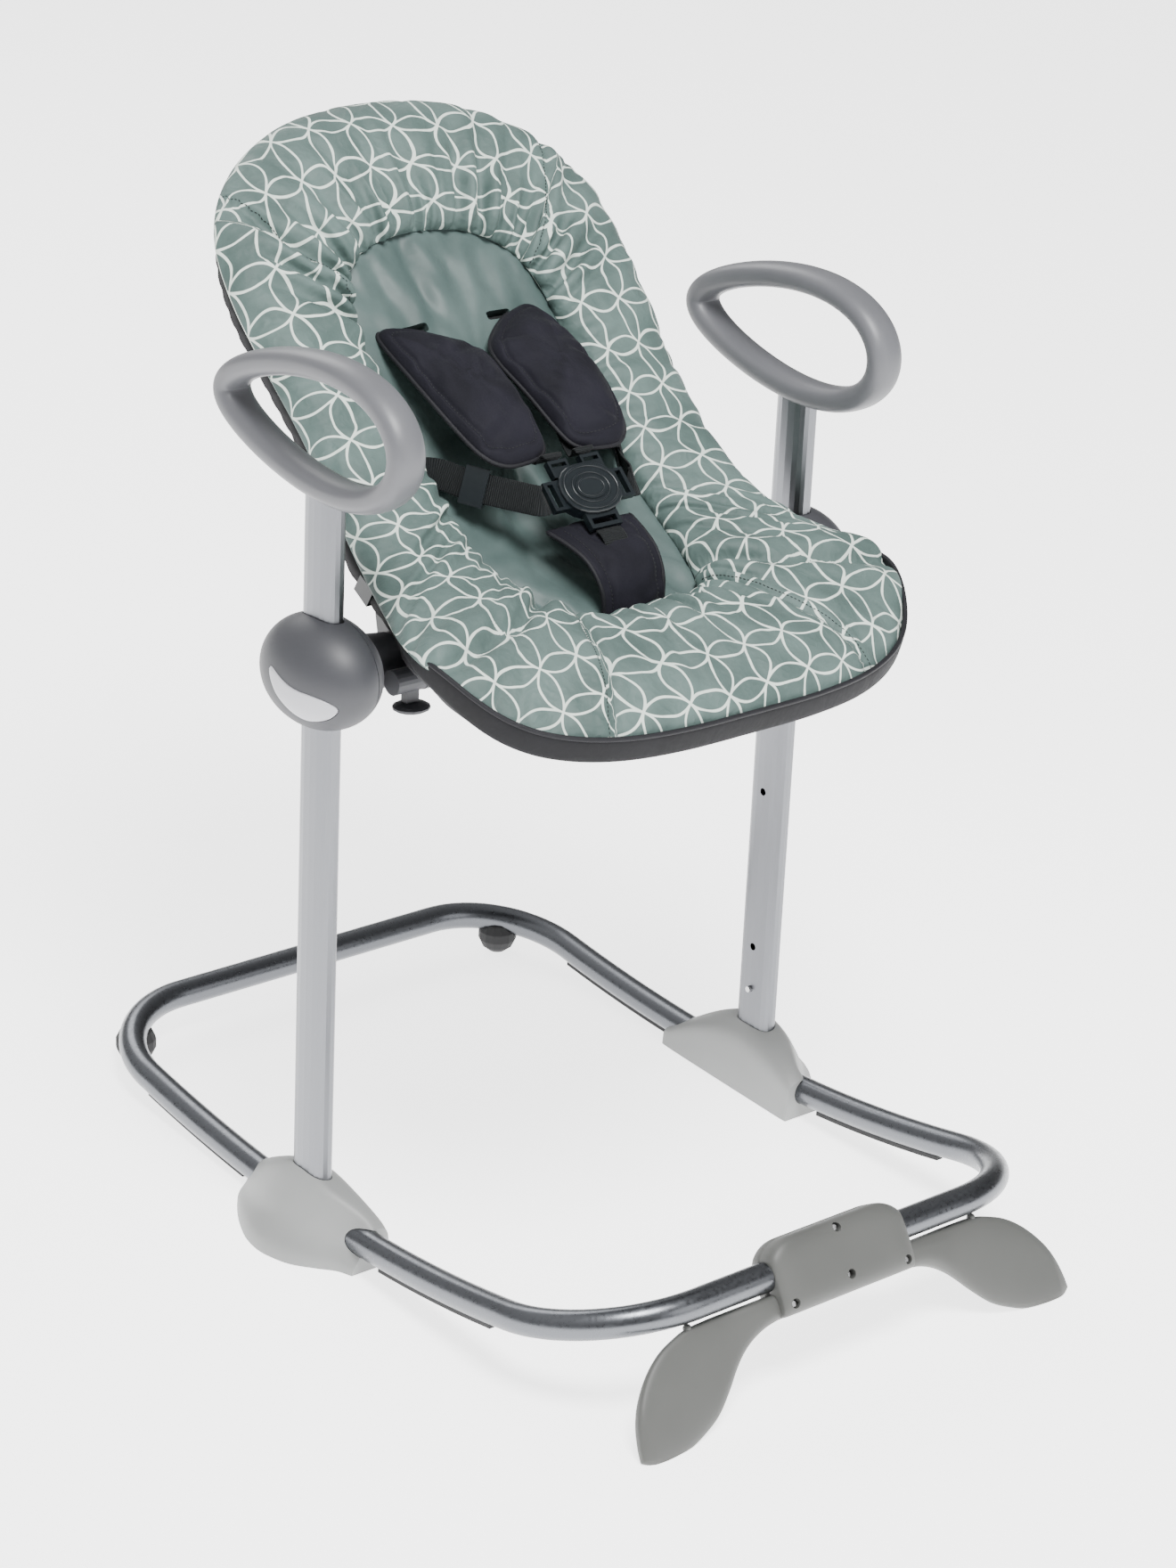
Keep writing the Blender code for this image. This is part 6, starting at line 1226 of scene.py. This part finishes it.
def make_shoulders():
    """Stuffed pads on an arch of one sine along them, folded by sines, blown up and creased, with piping on
    the rim and stitches inside it. The straps run from the slots, under the pads, to the buckle's prongs."""
    shares = np.array([1.0, 0.985, 0.955, 0.915, 0.87, 0.82, 0.76, 0.69, 0.61, 0.52, 0.42, 0.31, 0.20, 0.09])
    outline = smooth_curve(SHOULDER_OUTLINE, 108, closed=True)
    across = np.array([1.0, 0.0, 0.0])
    for side, word in SIDES:
        top = np.array([side * SHOULDER_TOP[0], *SHOULDER_TOP[1:]])
        down = unit(np.array([side * SHOULDER_BOTTOM[0], *SHOULDER_BOTTOM[1:]]) - top)
        out = np.cross(across, down)
        out = out if out[2] > 0 else -out

        def place(points):
            arch = SHOULDER_ARCH * np.sin(math.pi * points[..., 1] / SHOULDER_LENGTH)
            return stance(top + side * across * points[..., :1] + down * points[..., 1:2]
                          + out * (points[..., 2:] + arch[..., None]))

        flat = pad_grid(outline, SHOULDER_PAD_THICK, SHOULDER_UNDER, shares)
        u, v = flat[..., 0], flat[..., 1]
        upper = (np.arange(len(flat)) >= len(shares))[:, None]
        inside = 1 - np.concatenate([shares[::-1], shares])[:, None]
        low_end = bell(v - 0.125, 0.03)
        folds = (np.sin(v * 92 + u * 38 * side + 1.5 * np.sin(v * 40)) * low_end * 0.0022
                 + np.sin(u * 150 + v * 55) * 0.0009)
        flat[..., 2] += upper * folds * np.minimum(1, inside / 0.12)
        grid = place(flat)
        held = np.where(upper & (inside > 0.02), 0.0, 1.0) * np.ones(grid.shape[:2])
        grid = inflate(grid, held, np.ones(grid.shape[:2]) * 0.6, 0.12, 0.005, pressure=3.0)
        fine, grid = refine(flat), refine(grid)
        near = 1 - refine(np.repeat(1 - inside, 108, axis=1)[..., None])[..., 0]
        raised = (np.arange(len(grid)) >= len(grid) // 2)[:, None] * np.minimum(1, near / 0.10)
        dents = wrinkles(fine[..., :2], 20, (0.012, 0.030), (0.0038, 0.0065), 0.0026, (0.2, 1.3), 31 + side,
                         (-0.035, 0.02), (0.04, 0.15))
        dents += 0.0022 * bell(near - 0.13, 0.03)
        tilt = stance(out) - stance(np.zeros(3))
        grid = grid - tilt * (dents * raised)[..., None]
        line = grid[2 * (len(shares) + 4)]
        stitches(f"{word}_shoulder_stitches", np.vstack([line, line[:1]]), tilt)
        pad = surface(f"{word}_shoulder_cushion", grid)
        finish_piece(pad, "seat", CHARCOAL, "charcoal_cloth", f"{word}_shoulder_pad")
        rim = np.column_stack([smooth_curve(SHOULDER_OUTLINE, 200, closed=True), np.full(200, 0.0004)])
        cord = sweep(place(rim), oval(PIPING_RADIUS, PIPING_RADIUS, 2.0, 10), across=out, closed=True)
        piping = surface(f"{word}_shoulder_piping", cord, loop=True)
        finish_piece(piping, "seat", PIPING, "charcoal_cloth")
        up = buckle_axes()[1]
        prong = np.array(BUCKLE_CENTRE) + side * across * 0.017 + up * (BUCKLE_HALF[1] + 0.0086)

        def under(v, inward):
            arch = SHOULDER_ARCH * math.sin(math.pi * v / SHOULDER_LENGTH)
            return top + down * v - side * across * inward + out * (arch - 0.0054)

        start = above_spine(np.full(4, top[0]), STRAP_SLOT_S - np.array([0.0, 0.0, 0.0, 0.004]),
                            INSERT_TOP + np.array([-0.022, -0.012, -0.002, 0.0024]))
        path = np.vstack([start, under(0.02, 0.001), under(0.06, 0.007), under(0.11, 0.018),
                          under(0.150, 0.0245), prong + up * 0.007, prong + up * 0.001])
        grid = sweep(smooth_curve(path, 90), rounded_ends(oval(0.010, WEBBING_THICK / 2, 6.0, 20), 90, 1.5),
                     across=across)
        strap = surface(f"{word}_shoulder_webbing", stance(grid))
        finish_piece(strap, "seat", BELT, "black_webbing", f"{word}_shoulder_strap")


def make_waist():
    """Straps carried along smooth curves from under the border to the buckle's side prongs."""
    across = buckle_axes()[0]
    for side, word in SIDES:
        end = np.array(BUCKLE_CENTRE) + across * side * (BUCKLE_HALF[0] + 0.0126)
        tucked = above_spine(side * np.array([0.113, 0.1035]), np.array([0.358, 0.352]),
                             np.array([-0.0055, 0.0005]))
        path = smooth_curve([*tucked, (side * 0.0922, 0.0585, 0.6290), (side * 0.079, 0.034, 0.6240),
                             (side * 0.0625, 0.004, 0.6215), end + across * side * 0.008,
                             end + across * side * 0.0012], 90)
        section = rounded_ends(oval(WEBBING_WIDTH / 2, WEBBING_THICK / 2, 6.0, 20), 90, 1.5)
        strap = surface(f"{word}_waist_webbing", stance(sweep(path, section, across=(0.0, 0.55, 0.83))))
        finish_piece(strap, "seat", BELT, "black_webbing", f"{word}_waist_strap")


def make_crotch():
    """Flattened oval carried along the strap's curve, wider towards the buckle by a power of the run, with
    quarter-circle ends; blown up, creased and stitched inside both edges, with piping and its webbing."""
    line = smooth_curve(CROTCH_PATH, 60)
    path = np.column_stack([np.zeros(60), line])
    share = np.arange(60) / 59
    half = 0.031 + 0.013 * share ** 1.5
    closing = np.sqrt(1 - (1 - np.clip(np.minimum(share, 1 - share) / 0.05, 0.15, 1)) ** 2)
    angle = np.arange(64) * 2 * np.pi / 64
    c, s = np.cos(angle), np.sin(angle)
    wide = np.sign(c) * np.abs(c) ** 0.75
    tall = np.sign(s) * np.abs(s) ** 0.9 * (1 - 0.25 * bell(np.abs(wide) - 0.86, 0.05))
    section = np.stack([half[:, None] * wide[None], CROTCH_PAD_THICK / 2 * closing[:, None] * tall[None]],
                       axis=-1)
    grid = stance(sweep(path, section, across=(1.0, 0.0, 0.0)))
    held = (np.abs(wide) > 0.9)[None] * np.ones((60, 1)) + (np.minimum(share, 1 - share) < 0.04)[:, None]
    grid = inflate(grid, np.clip(held * np.ones((60, 64)), 0, 1), np.ones((60, 64)) * 0.5, 0.08, 0.0045,
                   pressure=2.0)
    grid = refine(grid)
    normals = grid_normals(grid)
    normals *= np.sign(normals[60, 96, 2] * (grid[60, 96, 2] - grid[60].mean(axis=0)[2]))
    fine_wide = refine(np.repeat(wide[None], 60, axis=0)[..., None])[..., 0]
    place = np.stack([fine_wide * 0.036, np.linspace(0, 0.09, len(grid))[:, None] + 0 * fine_wide], axis=-1)
    dents = wrinkles(place, 14, (0.010, 0.022), (0.0035, 0.006), 0.0016, (0.0, math.pi), 44)
    dents += 0.0014 * bell(np.abs(fine_wide) - CROTCH_STITCH_LINE, 0.07)
    grid = grid - normals * dents[..., None]
    for number, share_out in enumerate((-CROTCH_STITCH_LINE, CROTCH_STITCH_LINE)):
        column = 2 * int(np.argmin(np.abs(wide - share_out) + 9 * (s > 0)))
        stitches(f"crotch_stitches_{number + 1}", grid[8:-8, column], normals[8:-8, column])
    pad = surface("crotch_cushion", grid)
    finish_piece(pad, "seat", CHARCOAL, "charcoal_cloth", "crotch_pad")
    for side, word in SIDES:
        rim = path + np.column_stack([side * half, np.zeros(60), np.zeros(60)])
        cord = rounded_ends(oval(PIPING_RADIUS, PIPING_RADIUS, 2.0, 10), 60, 3)
        piping = surface(f"{word}_crotch_piping", stance(sweep(rim, cord, across=(1.0, 0.0, 0.0))))
        finish_piece(piping, "seat", PIPING, "charcoal_cloth")
    up = buckle_axes()[1]
    start = np.array(BUCKLE_CENTRE) - up * (BUCKLE_HALF[1] + 0.0130)
    path = smooth_curve([start, (0.0, -0.0545, 0.5945), (0.0, -0.0600, 0.5900), (0.0, -0.0625, 0.5830),
                         (0.0, -0.0632, 0.5765)], 50)
    section = rounded_ends(oval(WEBBING_WIDTH / 2, WEBBING_THICK / 2, 6.0, 20), 50, 1.5)
    strap = surface("crotch_webbing", stance(sweep(path, section, across=(1.0, 0.0, 0.0))))
    finish_piece(strap, "seat", BELT, "black_webbing", "crotch_strap")


def make_buckle_rims():
    """Raised oval beads on the buckle's face and on its button: a small round section carried along ovals."""
    across, up, out = buckle_axes()
    for name, body, half_x, half_y, bead, height in BUCKLE_RIMS:
        ring = oval(half_x, half_y, 2.1, 96)
        path = np.array(BUCKLE_CENTRE) + ring[:, :1] * across + ring[:, 1:] * up + out * height
        grid = sweep(path, oval(bead, bead, 2.0, 12), across=out, closed=True)
        rim = surface(name, stance(grid), loop=True)
        finish_piece(rim, body, BLACK, "black_plastic")


# Materials of the CAD nodes that stay

CARRIED = (("spring", STEEL), ("rivet", STEEL), ("pin", STEEL), ("screw", STEEL), ("strip", RUBBER),
           ("rear_foot", RUBBER), ("sleeve", BLACK), ("bracket", BLACK), ("lever", HUB_GREY),
           ("slider", BLACK), ("buckle", BLACK), ("frame_tube", STEEL), ("post", ALUMINIUM))


def paint_nodes():
    """Gives each node the material of the first word in the list that its name holds."""
    for name, node in NODES.items():
        material = next((finish for word, finish in CARRIED if word in name), None)
        if material is None:
            continue
        for slot in node.material_slots:
            slot.link = "OBJECT"
            slot.material = material


# Camera, floor and light

def make_camera():
    """Camera at the photograph's place and angle, with its small shift in pixels of the photograph."""
    camera = bpy.data.objects.new("camera", bpy.data.cameras.new("camera"))
    right = Vector(CAMERA_RIGHT).normalized()
    back = -Vector(CAMERA_FORWARD).normalized()
    up = back.cross(right).normalized()
    right = up.cross(back)
    turn = Matrix((right, up, back)).transposed().to_4x4()
    camera.matrix_world = Matrix.Translation(CAMERA_PLACE) @ turn
    camera.data.sensor_fit = "VERTICAL"
    camera.data.sensor_height = 36.0
    camera.data.lens = CAMERA_LENS
    camera.data.shift_x, camera.data.shift_y = (shift / PHOTO_HEIGHT for shift in CAMERA_SHIFT)
    camera.data.clip_end = 60
    bpy.context.scene.collection.objects.link(camera)
    bpy.context.scene.camera = camera


def area_light(name, place, size, energy):
    """A round soft light that faces the middle of the object."""
    light = bpy.data.lights.new(name, "AREA")
    light.shape = "DISK"
    light.size = size
    light.energy = energy
    lamp = bpy.data.objects.new(name, light)
    aim = Vector(LIGHT_AIM) - Vector(place)
    lamp.matrix_world = Matrix.Translation(place) @ aim.to_track_quat("-Z", "Y").to_matrix().to_4x4()
    bpy.context.scene.collection.objects.link(lamp)


def make_stage():
    """A round pale floor of four rings, a sky brighter overhead and to the left, and three soft lights."""
    ring = np.column_stack([oval(1.0, 1.0, 2.0, 64), np.zeros(64)])
    floor_grid = ring[None] * np.array(FLOOR_RINGS)[:, None, None]
    mesh = bpy.data.meshes.new("floor")
    rows, cols = floor_grid.shape[:2]
    index = np.arange(rows * cols).reshape(rows, cols)
    right = np.roll(index, -1, axis=1)
    faces = np.stack([index[:-1], right[:-1], right[1:], index[1:]], axis=-1).reshape(-1, 4).tolist()
    mesh.from_pydata(floor_grid.reshape(-1, 3).tolist(), [], faces + [index[0].tolist()])
    floor = bpy.data.objects.new("floor", mesh)
    bpy.context.scene.collection.objects.link(floor)
    material, _, shader = new_material("pale_floor")
    shader.inputs["Base Color"].default_value = (0.90, 0.90, 0.90, 1)
    shader.inputs["Roughness"].default_value = 0.9
    shader.inputs["Specular IOR Level"].default_value = 0.1
    shader.inputs["Emission Color"].default_value = (1.0, 1.0, 1.0, 1)
    shader.inputs["Emission Strength"].default_value = FLOOR_GLOW
    mesh.materials.append(material)
    world = bpy.data.worlds.new("studio")
    world.use_nodes = True
    sky = Tree(world.node_tree)
    part = sky.parts(sky.add("TexCoord", out=0))
    height = sky.ramp(part[2], -0.05, 0.80, 0.26, 0.80)
    side = sky.math("SUBTRACT", sky.math("MULTIPLY", part[0], 0.77), sky.math("MULTIPLY", part[1], 0.63))
    strength = sky.math("MULTIPLY", height, sky.ramp(side, -0.9, 0.8, 1.3, 0.35))
    sky.put(world.node_tree.nodes["Background"].inputs[1], strength)
    world.node_tree.nodes["Background"].inputs[0].default_value = (1.0, 1.0, 1.0, 1)
    bpy.context.scene.world = world
    for light in LIGHTS:
        area_light(*light)


make_base()
make_housings()
make_rings()
make_hubs()
make_front_foot()
make_border()
make_insert()
make_cover()
make_shoulders()
make_waist()
make_crotch()
make_buckle_rims()
paint_nodes()
make_camera()
make_stage()
